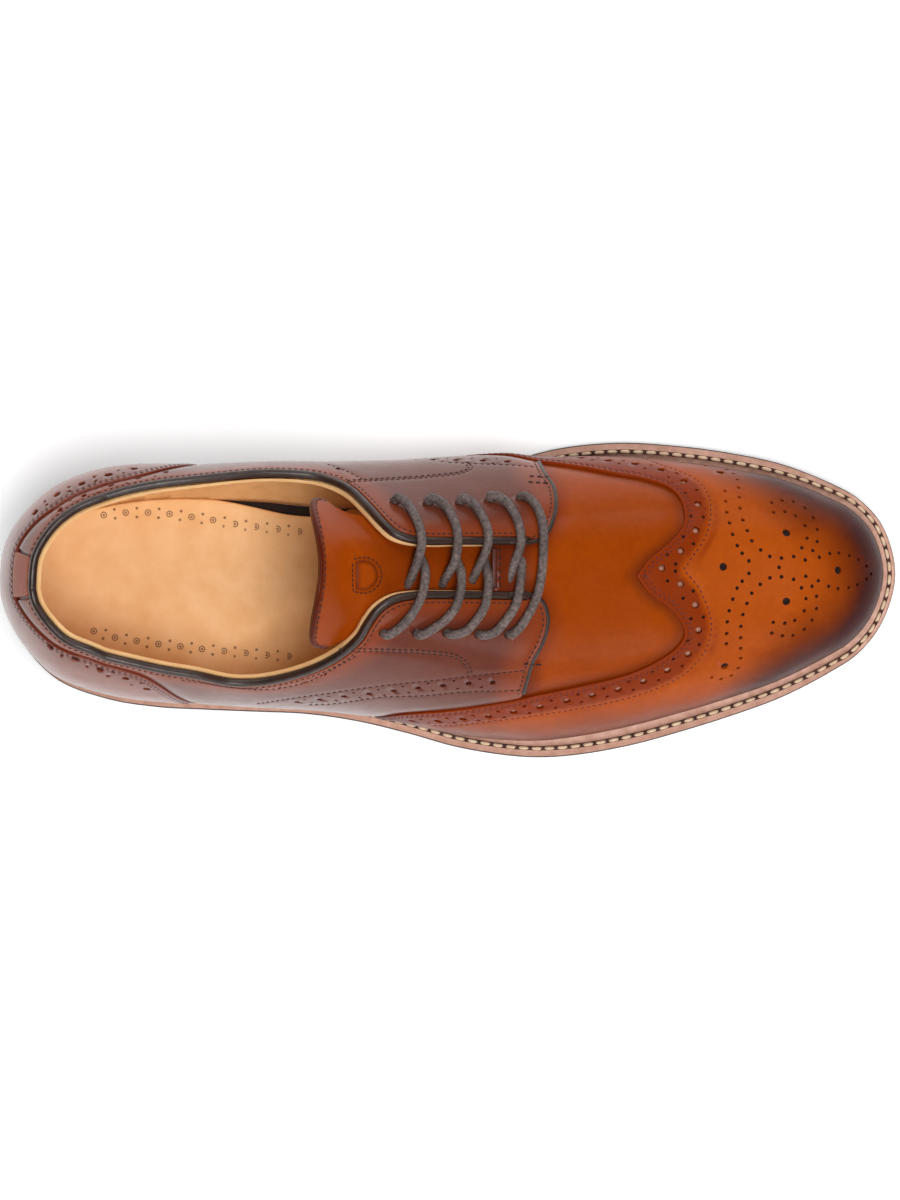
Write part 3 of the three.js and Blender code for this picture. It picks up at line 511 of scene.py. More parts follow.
def border_edges(tris):
    seen = {}
    for a, b, c in tris.tolist():
        for p, q in ((a, b), (b, c), (c, a)):
            if (q, p) in seen:
                del seen[(q, p)]
            else:
                seen[(p, q)] = True
    return list(seen)


def add_sheet(name, top, under, tris, slot, material, replaces=(), layers=None):
    """A closed mesh from the same triangles on top and underneath, with walls along their border."""
    count = len(top)
    faces = tris.tolist() + [(a + count, c + count, b + count) for a, b, c in tris.tolist()]
    walls = [(p, p + count, q + count, q) for p, q in border_edges(tris)]
    data = {key: np.tile(values, 2) for key, values in (layers or {}).items()}
    return add_mesh(name, np.vstack([top, under]), faces + walls, slot, material, replaces, len(walls), data)


def wider(hole, margin):
    """A ring round a hole, which keeps the turn of its edge narrow."""
    middle = hole.mean(0)
    return middle + (hole - middle) * (1 + margin / np.linalg.norm(hole - middle, axis=1).mean())


def skin_piece(name, loop, slot, material, outer, inner, holes=(), pitch=1.7, rows=(), replaces=(),
               layers=None):
    """A closed sheet over a region of the chart. outer and inner give the lift at places."""
    holes = within(holes, loop)
    verts, tris = fill(loop, holes, pitch, list(rows) + [wider(hole, 0.22) for hole in holes])
    return add_sheet(name, surface(verts, outer(verts))[0], surface(verts, inner(verts))[0], tris, slot,
                     material, replaces, {key: make(verts) for key, make in (layers or {}).items()})


def ring_faces(count, sides):
    """Faces of a closed strip made of rings in a row."""
    faces = []
    for i in range(count - 1):
        for k in range(sides):
            a, b = i * sides + k, i * sides + (k + 1) % sides
            faces.append((a, b, b + sides, a + sides))
    faces.append(tuple(range(sides))[::-1])
    faces.append(tuple(range((count - 1) * sides, count * sides)))
    return faces


def tube(points, radius, sides, ups=None, squash=1.0):
    """Points and faces of a round tube along points, in the frame's millimetres."""
    points = np.asarray(points, float)
    along = np.gradient(points, axis=0)
    along /= np.linalg.norm(along, axis=1)[:, None]
    if ups is None:
        ups = np.tile([0.0, 0.0, 1.0], (len(points), 1))
    right = np.cross(along, ups)
    right /= np.maximum(np.linalg.norm(right, axis=1), 1e-9)[:, None]
    up = np.cross(right, along)
    radius = np.broadcast_to(radius, len(points))
    turn = np.arange(sides) / sides * 2 * math.pi
    ring = (np.cos(turn)[None, :, None] * right[:, None] + squash * np.sin(turn)[None, :, None] * up[:, None])
    verts = (points[:, None] + ring * radius[:, None, None]).reshape(-1, 3)
    return verts, ring_faces(len(points), sides)


def joined(parts):
    verts, faces, start = [], [], 0
    for points, these in parts:
        verts.append(points)
        faces += [tuple(i + start for i in face) for face in these]
        start += len(points)
    return np.vstack(verts), faces


def stitch_parts(points, normals, pitch, length, radius, rise=0.1, sink=0.22, squash=0.7):
    """Stitches along a line of points: small humps whose ends go into the leather."""
    run = np.concatenate([[0], np.cumsum(np.linalg.norm(np.diff(points, axis=0), axis=1))])
    count = int(run[-1] // pitch)
    parts = []
    shape = np.array([-0.5, -0.3, 0.0, 0.3, 0.5])
    for i in range(count):
        middle = (i + 0.5) * run[-1] / count
        where = np.clip(middle + shape * length, 0, run[-1])
        centre = np.stack([np.interp(where, run, points[:, k]) for k in range(3)], 1)
        normal = np.stack([np.interp(where, run, normals[:, k]) for k in range(3)], 1)
        lift = rise - (rise + sink) * np.abs(shape * 2) ** 2.5
        centre = centre + normal * lift[:, None]
        parts.append(tube(centre, radius * np.array([0.55, 0.95, 1, 0.95, 0.55]), 6, normal, squash))
    return parts


# Materials

def rgb(r, g, b):
    return tuple((c / 255 / 12.92 if c / 255 <= 0.04045 else ((c / 255 + 0.055) / 1.055) ** 2.4)
                 for c in (r, g, b)) + (1,)


class Nodes:
    """A material with short ways to make and link its nodes."""

    def __init__(self, name):
        self.material = bpy.data.materials.new(name)
        self.material.use_nodes = True
        self.tree = self.material.node_tree
        self.shader = self.tree.nodes["Principled BSDF"]
        self.place = self.add("ShaderNodeTexCoord").outputs["Object"]

    def add(self, kind, **values):
        node = self.tree.nodes.new(kind)
        for key, value in values.items():
            if hasattr(node, key):
                setattr(node, key, value)
            else:
                node.inputs[key.replace("_", " ")].default_value = value
        return node

    def link(self, source, target):
        self.tree.links.new(source, target)

    def noise(self, scale, detail=3, roughness=0.5, stretch=None):
        node = self.add("ShaderNodeTexNoise", Scale=scale, Detail=detail, Roughness=roughness)
        if stretch:
            mapping = self.add("ShaderNodeMapping")
            mapping.inputs["Scale"].default_value = stretch
            self.link(self.place, mapping.inputs["Vector"])
            self.link(mapping.outputs["Vector"], node.inputs["Vector"])
        else:
            self.link(self.place, node.inputs["Vector"])
        return node.outputs["Fac"]

    def cells(self, scale, feature="F1"):
        node = self.add("ShaderNodeTexVoronoi", Scale=scale, feature=feature)
        self.link(self.place, node.inputs["Vector"])
        return node.outputs["Distance"]

    def layer(self, name):
        return self.add("ShaderNodeAttribute", attribute_name=name).outputs["Fac"]

    def ranged(self, source, low, high, to_low=0.0, to_high=1.0):
        node = self.add("ShaderNodeMapRange")
        for key, value in (("From Min", low), ("From Max", high), ("To Min", to_low), ("To Max", to_high)):
            node.inputs[key].default_value = value
        self.link(source, node.inputs["Value"])
        return node.outputs["Result"]

    def mix(self, share, first, second):
        node = self.add("ShaderNodeMix", data_type="RGBA")
        sockets = [s for s in node.inputs if s.type == "RGBA"]
        for socket, value in zip(sockets, (first, second)):
            if isinstance(value, tuple):
                socket.default_value = value
            else:
                self.link(value, socket)
        factor = node.inputs["Factor"]
        if isinstance(share, float):
            factor.default_value = share
        else:
            self.link(share, factor)
        return [s for s in node.outputs if s.type == "RGBA"][0]

    def math(self, kind, first, second):
        node = self.add("ShaderNodeMath", operation=kind)
        for socket, value in zip(node.inputs, (first, second)):
            if isinstance(value, (int, float)):
                socket.default_value = value
            else:
                self.link(value, socket)
        return node.outputs["Value"]

    def bump(self, height, distance, strength=1.0, below=None):
        node = self.add("ShaderNodeBump", Strength=strength, Distance=distance)
        self.link(height, node.inputs["Height"])
        if below is not None:
            self.link(below, node.inputs["Normal"])
        return node.outputs["Normal"]


def leather(name, plain, band, dark, coat=0.55, coat_rough=0.16, shine=0.16):
    """Burnished calf. Its darkening layer holds the burnish and, on the vamp, tongue and keeper, painted
    shade; its band layer darkens and reddens it along edges, which on the vamp is painted shade.
    """
    n = Nodes(name)
    cloud = n.ranged(n.noise(38, 5, 0.6), 0.3, 0.72)
    fleck = n.ranged(n.noise(420, 2, 0.5), 0.35, 0.7)
    r, g, b, _ = plain
    colour = n.mix(n.math("MULTIPLY", cloud, 0.55), plain, (r * 0.72, g * 0.62, b * 0.6, 1))
    colour = n.mix(n.math("MULTIPLY", fleck, 0.16), colour, (r * 0.5, g * 0.42, b * 0.4, 1))
    colour = n.mix(n.layer("band"), colour, band)
    streak = n.ranged(n.noise(60, 4, 0.6), 0.25, 0.75, -0.12, 0.12)
    # Share of the dark colour: burnish, and painted shade on the vamp, tongue and keeper, with random streaks
    burnish_and_shade_share = n.math("ADD", n.layer("burnish_and_shade"), streak)
    burnish_and_shade_share = n.math("MULTIPLY", burnish_and_shade_share, n.ranged(n.layer("burnish_and_shade"), 0, 0.08))
    node = n.add("ShaderNodeClamp")
    n.link(burnish_and_shade_share, node.inputs["Value"])
    colour = n.mix(node.outputs["Result"], colour, dark)
    n.link(colour, n.shader.inputs["Base Color"])
    n.link(n.ranged(n.noise(90, 4, 0.6), 0.3, 0.7, 0.30, 0.42), n.shader.inputs["Roughness"])
    pores = n.bump(n.cells(1500), 0.00006, 0.5)
    pebble = n.bump(n.noise(700, 4, 0.6), 0.00012, 0.4, pores)
    wave = n.bump(n.noise(55, 2, 0.4), 0.0012, 0.2, pebble)
    n.link(wave, n.shader.inputs["Normal"])
    n.shader.inputs["Coat Weight"].default_value = coat
    n.shader.inputs["Coat Roughness"].default_value = coat_rough
    n.shader.inputs["Coat IOR"].default_value = 1.3
    n.shader.inputs["Specular IOR Level"].default_value = shine
    return n.material


def fibre(name, plain, dark, rough=0.75, scale=260, stretch=None, depth=0.00012, coat=0.0):
    """Undyed leather, rubber, thread or wood-like stacked leather, by its colours and grain."""
    n = Nodes(name)
    share = n.ranged(n.noise(scale, 5, 0.6, stretch), 0.3, 0.72)
    cloud = n.ranged(n.noise(scale / 9, 3, 0.5), 0.3, 0.7, 0, 0.5)
    colour = n.mix(cloud, n.mix(share, plain, dark), dark)
    n.link(colour, n.shader.inputs["Base Color"])
    n.link(n.ranged(share, 0, 1, rough - 0.08, rough + 0.08), n.shader.inputs["Roughness"])
    n.link(n.bump(n.noise(scale * 3, 3, 0.5, stretch), depth, 0.7), n.shader.inputs["Normal"])
    n.shader.inputs["Coat Weight"].default_value = coat
    n.shader.inputs["Coat Roughness"].default_value = 0.3
    return n.material


COGNAC = rgb(164, 68, 2)
RED_BROWN = rgb(136, 48, 5)
BURNT = rgb(62, 12, 6)
# Its band and dark colours are painted shade on the vamp; the dark colour is also painted shade on the tongue
# and keeper and darkens the tongue's rear rim
vamp_leather = leather("vamp_leather", COGNAC, band=rgb(126, 44, 4), dark=rgb(84, 26, 6), coat=0.2,
                       shine=0.1)
wing_leather = leather("wing_leather", rgb(184, 82, 14), band=RED_BROWN, dark=BURNT, coat=0.1, coat_rough=0.3,
                       shine=0.07)
quarter_leather = leather("quarter_leather", rgb(108, 50, 33), band=rgb(134, 56, 22), dark=rgb(84, 36, 26))
counter_leather = leather("counter_leather", rgb(140, 72, 50), band=rgb(122, 54, 36), dark=rgb(84, 40, 32))
binding_leather = fibre("binding_leather", rgb(66, 42, 32), rgb(32, 18, 12), 0.42, 400, coat=0.15)
lining_leather = fibre("lining_leather", rgb(244, 198, 140), rgb(226, 172, 112), 0.6, 150)
sock_leather = fibre("sock_leather", rgb(250, 204, 146), rgb(240, 186, 124), 0.6, 120)
welt_leather = fibre("welt_leather", rgb(228, 180, 158), rgb(192, 138, 116), 0.55, 300, coat=0.1)
# Dark brown of the welt's stitch groove: painted shade
welt_groove_shade = fibre("welt_groove_shade", rgb(84, 44, 30), rgb(60, 30, 22), 0.8, 300)
sole_edge_finish = fibre("sole_edge_finish", rgb(66, 46, 42), rgb(44, 30, 28), 0.45, 220, coat=0.25)
heel_leather = fibre("heel_leather", rgb(64, 42, 36), rgb(40, 26, 24), 0.45, 200, (1, 1, 7), coat=0.25)
heel_rubber = fibre("heel_rubber", rgb(34, 33, 34), rgb(24, 23, 24), 0.8, 500)
cream_thread = fibre("cream_thread", rgb(250, 226, 196), rgb(222, 184, 146), 0.8, 900)
dark_thread = fibre("dark_thread", rgb(58, 26, 20), rgb(34, 16, 14), 0.7, 900)
red_thread = fibre("red_thread", rgb(120, 40, 24), rgb(84, 26, 18), 0.7, 900)
lace_cord = fibre("lace_cord", rgb(142, 124, 118), rgb(50, 38, 36), 0.6, 900, depth=0.0004)
hole_backing = fibre("hole_backing", rgb(206, 150, 128), rgb(160, 104, 84), 0.7, 400)
fold_leather = fibre("fold_leather", rgb(96, 34, 12), rgb(64, 22, 10), 0.6, 300)
# Dark brown for the board under the sock: painted shade
painted_shade_board = fibre("painted_shade_board", rgb(52, 34, 26), rgb(34, 22, 18), 0.9, 300)
hole_shadow = fibre("hole_shadow", rgb(30, 14, 10), rgb(20, 10, 8), 0.9, 400)
ornament_ink = fibre("ornament_ink", rgb(176, 128, 86), rgb(140, 98, 66), 0.7, 500)


# Regions of the upper, in the chart. Each line runs away from the heel.

def feather_line(side, start, end):
    at = np.linspace(start, end, int(abs(end - start) * 260) + 8)
    return chart(side, at, 0.004)


def edge_line(side, rows, spacing=1.0):
    return curve(chart_line(side, rows), spacing)


topline = {side: edge_line(side, TOPLINE[side], 0.8) for side in (1, -1)}
wing_line = {side: edge_line(side, WING[side], 0.9) for side in (1, -1)}
counter_line = {side: edge_line(side, COUNTER[side], 0.9) for side in (1, -1)}
front_line = {side: edge_line(side, FRONT[side], 0.8) for side in (1, -1)}


def clean(loop, least=0.25):
    kept = [loop[0]]
    for point in loop[1:]:
        if np.hypot(*(point - kept[-1])) > least:
            kept.append(point)
    if np.hypot(*(kept[0] - kept[-1])) < least:
        kept.pop()
    return np.array(kept)


def loop_rows(loop, distances):
    """Rows of points inside a closed loop, on either turning sense."""
    x, y = loop.T
    turn = 1 if (x * np.roll(y, -1) - np.roll(x, -1) * y).sum() > 0 else -1
    return [sideways(loop, turn * d, closed=True) for d in distances]


wing_loop = clean(np.vstack([
    wing_line[1], feather_line(1, 0.412, 1.0), feather_line(-1, 1.0, 0.414), wing_line[-1][::-1][:-1]]))
counter_loop = clean(np.vstack([
    counter_line[1], feather_line(1, 0.236, 0.0), feather_line(-1, 0.0, 0.218), counter_line[-1][::-1][:-1]]))


def rim(side, distance):
    """The topline moved down the leather by a distance."""
    return sideways(topline[side], distance * side)


def by_at(line, low, high):
    _, at, _ = unchart(line)
    return line[(at >= low) & (at <= high)]


def quarter_loop(side):
    low = BACK_STRIP[side] + 0.0015
    bound = by_at(rim(side, BINDING_WIDTH + 0.1), low, 0.583)
    over_wing = sideways(wing_line[side], 0.12 * side)
    front_end = unchart(front_line[side][-1:])[1][0]
    over_wing = by_at(over_wing, 0, front_end)
    over_counter = sideways(counter_line[side], -0.12 * side)
    over_counter = by_at(over_counter, low, 1)
    foot = feather_line(side, 0.408, 0.242)
    front = front_line[side][4:]
    return clean(np.vstack([bound, front, over_wing, foot[1:-1], over_counter[::-1]]))


def back_loop():
    parts = []
    for side in (1, -1):
        upper_edge = by_at(rim(side, BINDING_WIDTH + 0.1), 0, BACK_STRIP[side])
        lower_edge = by_at(sideways(counter_line[side], -0.12 * side), 0, BACK_STRIP[side])
        parts.append((upper_edge, lower_edge))
    (m_up, m_low), (l_up, l_low) = parts
    return clean(np.vstack([m_up, m_low[::-1], l_low, l_up[::-1]]))


# Lines and holes read from the photograph, in its pixels
BIG_HOLES = {
    "wing": [(555, 455.5), (581, 457.8), (608, 460.6), (634.8, 463.8), (661, 469.8), (684, 481), (698, 503.7),
             (696, 530), (681, 550.5), (662, 568), (681, 584), (695.6, 605), (698.8, 630.4), (688.3, 654.3),
             (667.5, 670.6), (643.7, 681.7), (618.4, 689.7), (592.5, 695.5), (567, 701), (540, 707),
             (513.6, 712), (488.4, 716.4), (462.8, 719), (437.8, 721), (412, 721)],
    "quarter_lateral": [(296.7, 702), (319.7, 699.5), (343.9, 696.3), (368.9, 693.8), (393.8, 690.9),
                        (418, 687.9), (443, 685.6), (468.6, 683.4), (492.8, 682.6)],
    "quarter_medial": [(407.7, 459.3), (432.7, 459.6), (456, 460), (482.6, 460.6), (506.8, 461.6)],
    "collar_lateral": [(241, 687), (265, 687), (289, 683.6), (310.7, 677), (330, 667)],
    "collar_medial": [(60, 510), (84, 495.5), (111, 485), (138, 477.6), (166, 472), (338, 468.7)],
    "counter_lateral": [(36.4, 624), (50.4, 646.6), (75.3, 658.7), (100, 669.5), (125.6, 678.4),
                        (146.7, 689)],
    "counter_medial": [(35.7, 512.7), (57.4, 494.8), (82, 484), (108, 475), (134.6, 468.7)],
}
MEDALLION_ORIGIN, MEDALLION_ZOOM = (580, 430), 4.48
MEDALLION_BIG = [(642, 613), (925, 460), (925, 768), (1157, 628), (628, 190), (648, 1058)]
MEDALLION_SMALL = [
    (650, 272), (652, 318), (657, 367), (670, 415), (684, 467), (705, 517), (727, 552), (757, 586),
    (757, 642), (727, 677), (704, 709), (685, 758), (669, 810), (660, 860), (657, 912), (656, 958),
    (560, 160), (603, 160), (655, 178), (686, 195), (705, 222), (710, 258), (713, 301), (717, 350),
    (730, 402), (750, 450), (770, 496), (810, 537), (851, 566), (903, 573), (958, 566), (1010, 582),
    (1073, 570),
    (1120, 553), (1160, 550), (1207, 562), (1247, 581), (1283, 610), (1303, 645), (1283, 668), (1243, 692),
    (1205, 706), (1157, 710), (1115, 700), (1068, 675), (1012, 655), (957, 669), (903, 658), (851, 662),
    (808, 691), (770, 731), (748, 777), (730, 827), (721, 880), (720, 931), (720, 978), (720, 1022),
    (708, 1067), (678, 1100), (632, 1115), (590, 1108), (892, 615),
    (1043, 539), (994, 527), (1063, 499), (1018, 484), (1063, 445), (1008, 428), (1045, 393), (1008, 349),
    (965, 384), (955, 322), (918, 365), (905, 316), (867, 368), (858, 325),
    (1040, 700), (993, 707), (1060, 745), (1013, 755), (1060, 800), (1005, 810), (1040, 852), (1005, 893),
    (963, 853), (955, 920), (918, 866), (907, 922), (866, 862), (860, 910),
]
EYELET_PIXELS = {
    1: [(521.5, 497), (490.5, 499), (460.5, 501.5), (428.5, 502), (395, 501)],
    -1: [(509.3, 634), (479.5, 634), (447.5, 632.7), (417, 633), (384, 633)],
}
SEAMS = {
    "facing_lateral": [(338.8, 651.5), (388.7, 652.3), (432.7, 654.5), (454.7, 658), (465, 665.5),
                       (468.6, 674.3)],
    "facing_medial": [(346, 481.8), (388.7, 479.6), (432.7, 476.7), (462, 473), (472.3, 467.9),
                      (469.4, 463.5)],
    "band_lateral_upper": [(256, 704), (286, 699.5), (330, 693.3), (388.7, 685.3), (447.4, 679.4),
                           (476.7, 675.7), (525, 670.6)],
    "band_lateral_lower": [(307.6, 705), (330, 704.3), (378.4, 697.7), (418, 696.3), (462, 692.6),
                           (520.7, 690.4)],
    "band_medial": [(447, 462), (491, 464), (535, 467)],
    "collar_lateral": [(180, 680), (244, 689), (276, 689), (307.6, 682), (333, 669.5), (357, 655.5)],
    "collar_front_medial": [(326.7, 464), (345.8, 470.6), (363.7, 479.5)],
    "wing_toe_medial": [(558, 454), (622, 457.4), (660, 464.4), (679, 471), (698.6, 481), (708.8, 496),
                        (710.7, 516.7), (705, 538), (691, 559), (683.8, 569.5)],
    "wing_toe_lateral": [(683.8, 569.5), (700, 590), (711, 620), (710.5, 635.6), (703.5, 654), (682.4, 676),
                         (654, 690), (626, 699), (584, 708), (542, 715), (500, 720.5), (476.7, 723.4),
                         (432.7, 725.6)],
}


PAIR_ACROSS = 2.1
PAIR_REACH = 16


def pair_between(places):
    """Two small holes between each two big ones, beside each other across the band."""
    pairs = []
    for a, b in zip(places, places[1:]):
        if np.hypot(*(b - a)) > PAIR_REACH:
            continue
        along = (b - a) / np.hypot(*(b - a))
        side = np.array([-along[1], along[0]])
        pairs += [(a + b) / 2 + side * PAIR_ACROSS, (a + b) / 2 - side * PAIR_ACROSS]
    return np.array(pairs)


holes = {key: at_pixels(value) for key, value in BIG_HOLES.items()}
eyelets = {side: at_pixels(value) for side, value in EYELET_PIXELS.items()}
medallion_big = at_pixels(np.array(MEDALLION_BIG) / MEDALLION_ZOOM + MEDALLION_ORIGIN)
medallion_small = at_pixels(np.array(MEDALLION_SMALL) / MEDALLION_ZOOM + MEDALLION_ORIGIN)
seams = {key: curve(at_pixels(value), 0.8) for key, value in SEAMS.items()}
BIG, SMALL, MEDAL, DOT = 1.25, 0.62, 1.35, 0.68


def rings(places, radius, count=12):
    places = places[unchart(places)[2] > 0.04]
    return [circle_in_chart(place, radius, count) for place in places]


HOLE_MARGIN = 0.45


def within(holes, loop):
    """The holes that lie wholly inside a region."""
    closed = np.vstack([loop, loop[:1]])
    return [hole for hole in holes
            if inside(hole, loop).all() and distance_to(hole, closed).min() > HOLE_MARGIN]


def rounded(loop, radius):
    """Lift of a panel with rounded edges."""
    closed = np.vstack([loop, loop[:1]])

    def lift(places):
        near = distance_to(places, closed)
        share = np.clip(1 - near / radius, 0, 1)
        return radius * 0.8 * (np.sqrt(np.clip(1 - share**2, 0, 1)) - 1)
    return lift


def groove(places, lines, depth, width):
    """How far seams pull the leather in."""
    total = np.zeros(len(places))
    for line in lines:
        total = np.maximum(total, depth * np.exp(-(distance_to(places, line) / width) ** 2))
    return total


def flat(level):
    return lambda places: np.full(len(places), level)


EDGE_ROWS = (0.14, 0.34, 0.62, 1.1, 1.6, 2.2)

# Wing cap
wing_edge = np.vstack([wing_line[1][::-1], wing_line[-1][1:]])
toe_seam = np.vstack([seams["wing_toe_medial"], seams["wing_toe_lateral"][1:]])
wing_seams = [sideways(wing_edge, 1.5), sideways(wing_edge, 2.6)]


def wing_lift(places):
    base = rounded(wing_loop, 0.55)(places)
    return base - groove(places, [toe_seam] + wing_seams, 0.16, 0.55)


WING_BAND = 12.5


def wing_band(places):
    near = distance_to(places, wing_edge)
    far = distance_to(places, toe_seam)
    width = near + far
    share = smooth((width - near) / np.maximum(width, 1e-6) * 6)
    return np.where(near < WING_BAND, share * smooth((WING_BAND - near) / 3), 0)


def toe_burn(places):
    _, at, v = unchart(places)
    toe = smooth((at - 0.77) / 0.13)
    low = 1 - smooth((v - 0.05 - 0.2 * toe) / (0.42 + 0.25 * toe))
    return np.clip(low * (0.78 + 0.34 * toe) + 0.5 * smooth((0.07 - v) / 0.05), 0, 1)


wing_holes = (rings(holes["wing"], BIG) + rings(pair_between(holes["wing"]), SMALL, 9)
              + rings(medallion_big, MEDAL) + rings(medallion_small, DOT, 9))
skin_piece("wing_cap_leather", wing_loop, "wing_leather", wing_leather, wing_lift, flat(-LEATHER), wing_holes,
           1.6, loop_rows(wing_loop, EDGE_ROWS) + [sideways(toe_seam, d) for d in (-0.6, 0, 0.6)],
           ["wing_cap"], {"burnish_and_shade": toe_burn, "band": wing_band})

# Heel counter
counter_edge = np.vstack([counter_line[1][::-1], counter_line[-1][1:]])


def counter_lift(places):
    return rounded(counter_loop, 0.5)(places) - groove(
        places, [sideways(counter_edge, -1.4), sideways(counter_edge, -2.9)], 0.14, 0.5)


def counter_burn(places):
    _, _, v = unchart(places)
    return 0.8 * (1 - smooth((v - 0.02) / 0.3))


def counter_band(places):
    return smooth((10 - distance_to(places, counter_edge)) / 3)


counter_big = np.vstack([holes["counter_medial"][::-1], holes["counter_lateral"]])
counter_holes = rings(counter_big, BIG) + rings(
    np.vstack([pair_between(holes["counter_medial"]), pair_between(holes["counter_lateral"])]), SMALL, 9)
skin_piece("counter_leather", counter_loop, "wing_leather", counter_leather, counter_lift, flat(-LEATHER),
           counter_holes, 1.8, loop_rows(counter_loop, EDGE_ROWS), ["heel_counter"],
           {"burnish_and_shade": counter_burn, "band": counter_band})

# Back strip
back = back_loop()
skin_piece("back_strip_leather", back, "quarter_leather", vamp_leather, rounded(back, 0.4), flat(-LEATHER),
           (), 1.2, loop_rows(back, (0.15, 0.4)), ["back_strip"], {"burnish_and_shade": flat(0), "band": flat(0)})


# Quarters. They dip where they pass under the wing and the counter.
def make_quarter(side, name):
    loop = quarter_loop(side)
    word = "medial" if side > 0 else "lateral"
    under = [wing_line[side], counter_line[side]]
    lines = [line for key, line in seams.items() if word in key and not key.startswith("wing")]
    rim_seam = rim(side, BINDING_WIDTH + 1.2)
    front_seam = sideways(front_line[side], 1.6 * side)
    edge = np.vstack([topline[side], front_line[side][1:]])

    def lift(places):
        base = rounded(loop, 0.4)(places)
        dip = np.zeros(len(places))
        for line in under:
            dip = np.maximum(dip, 0.62 * (1 - smooth(distance_to(places, line) / 4.5)))
        pull = groove(places, lines + [rim_seam, front_seam], 0.13, 0.5)
        return np.maximum(base - dip - pull, -LEATHER + 0.2)

    def burnish_and_shade(places):
        _, _, v = unchart(places)
        return 0.75 * (1 - smooth((v - 0.02) / 0.28))

    def band(places):
        return smooth((13 - distance_to(places, edge)) / 9)

    big = np.vstack([holes[key] for key in (f"quarter_{word}", f"collar_{word}")])
    small = np.vstack([pair_between(holes[f"quarter_{word}"]), pair_between(holes[f"collar_{word}"])])
    keep = inside(big, loop) & (distance_to(big, np.vstack([loop, loop[:1]])) > BIG + 0.5)
    keep_small = inside(small, loop) & (distance_to(small, np.vstack([loop, loop[:1]])) > SMALL + 0.4)
    cut = rings(big[keep], 1.0) + rings(small[keep_small], 0.5, 9) + rings(eyelets[side], 1.75, 14)
    rows = loop_rows(loop, EDGE_ROWS) + [sideways(line, d) for line in lines for d in (-0.5, 0, 0.5)]
    skin_piece(name + "_leather", loop, "quarter_leather", quarter_leather, lift, flat(-LEATHER), cut, 1.8,
               rows, [name], {"burnish_and_shade": burnish_and_shade, "band": band})
    return lift


quarter_lift = {1: make_quarter(1, "quarter_medial"), -1: make_quarter(-1, "quarter_lateral")}


# Vamp under the panels, and the lining. Lifts of their sides are from the surface of the upper.
def shell_loop(distance, end):
    line = {side: by_at(rim(side, distance), 0, end) for side in (1, -1)}
    seam = {side: line[side][-1] for side in (1, -1)}
    across = resample(np.array([seam[1], seam[-1]]), 1.2)[1:-1]
    inner = clean(np.vstack([line[1], across, line[-1][::-1]]))
    outer = clean(np.vstack([feather_line(1, 0, 1), feather_line(-1, 1, 0)]), 1.2)
    return outer, inner


def creases(places):
    """Flexing folds over the joint of the toes, from their ends in the chart."""
    total = np.zeros(len(places))
    for start, bend, end, depth in CREASES:
        line = curve(at_pixels([start, bend, end]), 1.5)
        ends = np.minimum(distance_to(places, line[:2]), distance_to(places, line[-2:]))
        near = distance_to(places, line)
        total += depth * np.exp(-(near / 1.5) ** 2) * smooth(ends / 14)
    return total


CREASES = [((592, 500), (600, 545), (598, 590), 0.10), ((566, 560), (574, 600), (566, 640), 0.08),
           ((625, 520), (632, 548), (630, 575), 0.06)]
outer_edge, inner_edge = shell_loop(BINDING_WIDTH + 0.2, SLOT_END)
BASE = -LEATHER - 0.06
VAMP_UNDER = -2.6
LINING_TOP, LINING_UNDER = -2.66, -3.6


def in_slot(places):
    """One between the facings and a little under them, nought elsewhere."""
    loop = np.vstack([by_at(rim(1, 6), 0.53, 1), by_at(rim(-1, 6), 0.53, 1)[::-1]])
    return inside(places, loop).astype(float)


def vamp_lift(places):
    near = np.minimum(distance_to(places, wing_edge),
                      np.minimum(distance_to(places, front_line[1]), distance_to(places, front_line[-1])))
    swell = 0.28 * smooth((near - 0.3) / 7)
    _, at, _ = unchart(places)
    slot = 0.9 * smooth((0.600 - at) / 0.045)
    seen = inside(places, vamp_zone)
    return np.where(seen, BASE + swell - creases(places), BASE) - slot * in_slot(places)


def ahead_of_front(side):
    return by_at(wing_line[side], unchart(front_line[side][-1:])[1][0], 1)


vamp_zone = clean(np.vstack([
    front_line[1], ahead_of_front(1)[::-1], ahead_of_front(-1), front_line[-1][::-1]]))


# Painted shade: the vamp darkens and reddens within 7 mm of the facings' fronts, which lie over it
def vamp_shade_band(places):
    near = np.minimum(distance_to(places, front_line[1]), distance_to(places, front_line[-1]))
    return smooth((7 - near) / 7) * 0.8


# Painted shade: darker beside the wing's edge, which lies over the vamp, and towards the rear between the
# facings, under the laces
def vamp_painted_shade(places):
    _, at, _ = unchart(places)
    shade = smooth((5 - distance_to(places, wing_edge)) / 5) * 0.5
    return np.maximum(shade, smooth((0.605 - at) / 0.03) * 0.8)


shell_holes = [inner_edge] + rings(eyelets[1], 1.85, 12) + rings(eyelets[-1], 1.85, 12)


def ring_piece(name, loops, slot, material, outer, inner, pitch, rows=(), replaces=(), layers=None):
    """A closed sheet around a large opening, whose loop is the first of the holes."""
    outline, opening = loops[0], loops[1]
    verts, tris = fill(outline, loops[1:], pitch, rows)
    middle = verts[tris].mean(1)
    tris = tris[~inside(middle, opening)]
    used = np.unique(tris)
    back = np.full(len(verts), -1)
    back[used] = np.arange(len(used))
    verts, tris = verts[used], back[tris]
    return add_sheet(name, surface(verts, outer(verts))[0], surface(verts, inner(verts))[0], tris, slot,
                     material, replaces, {key: make(verts) for key, make in (layers or {}).items()})


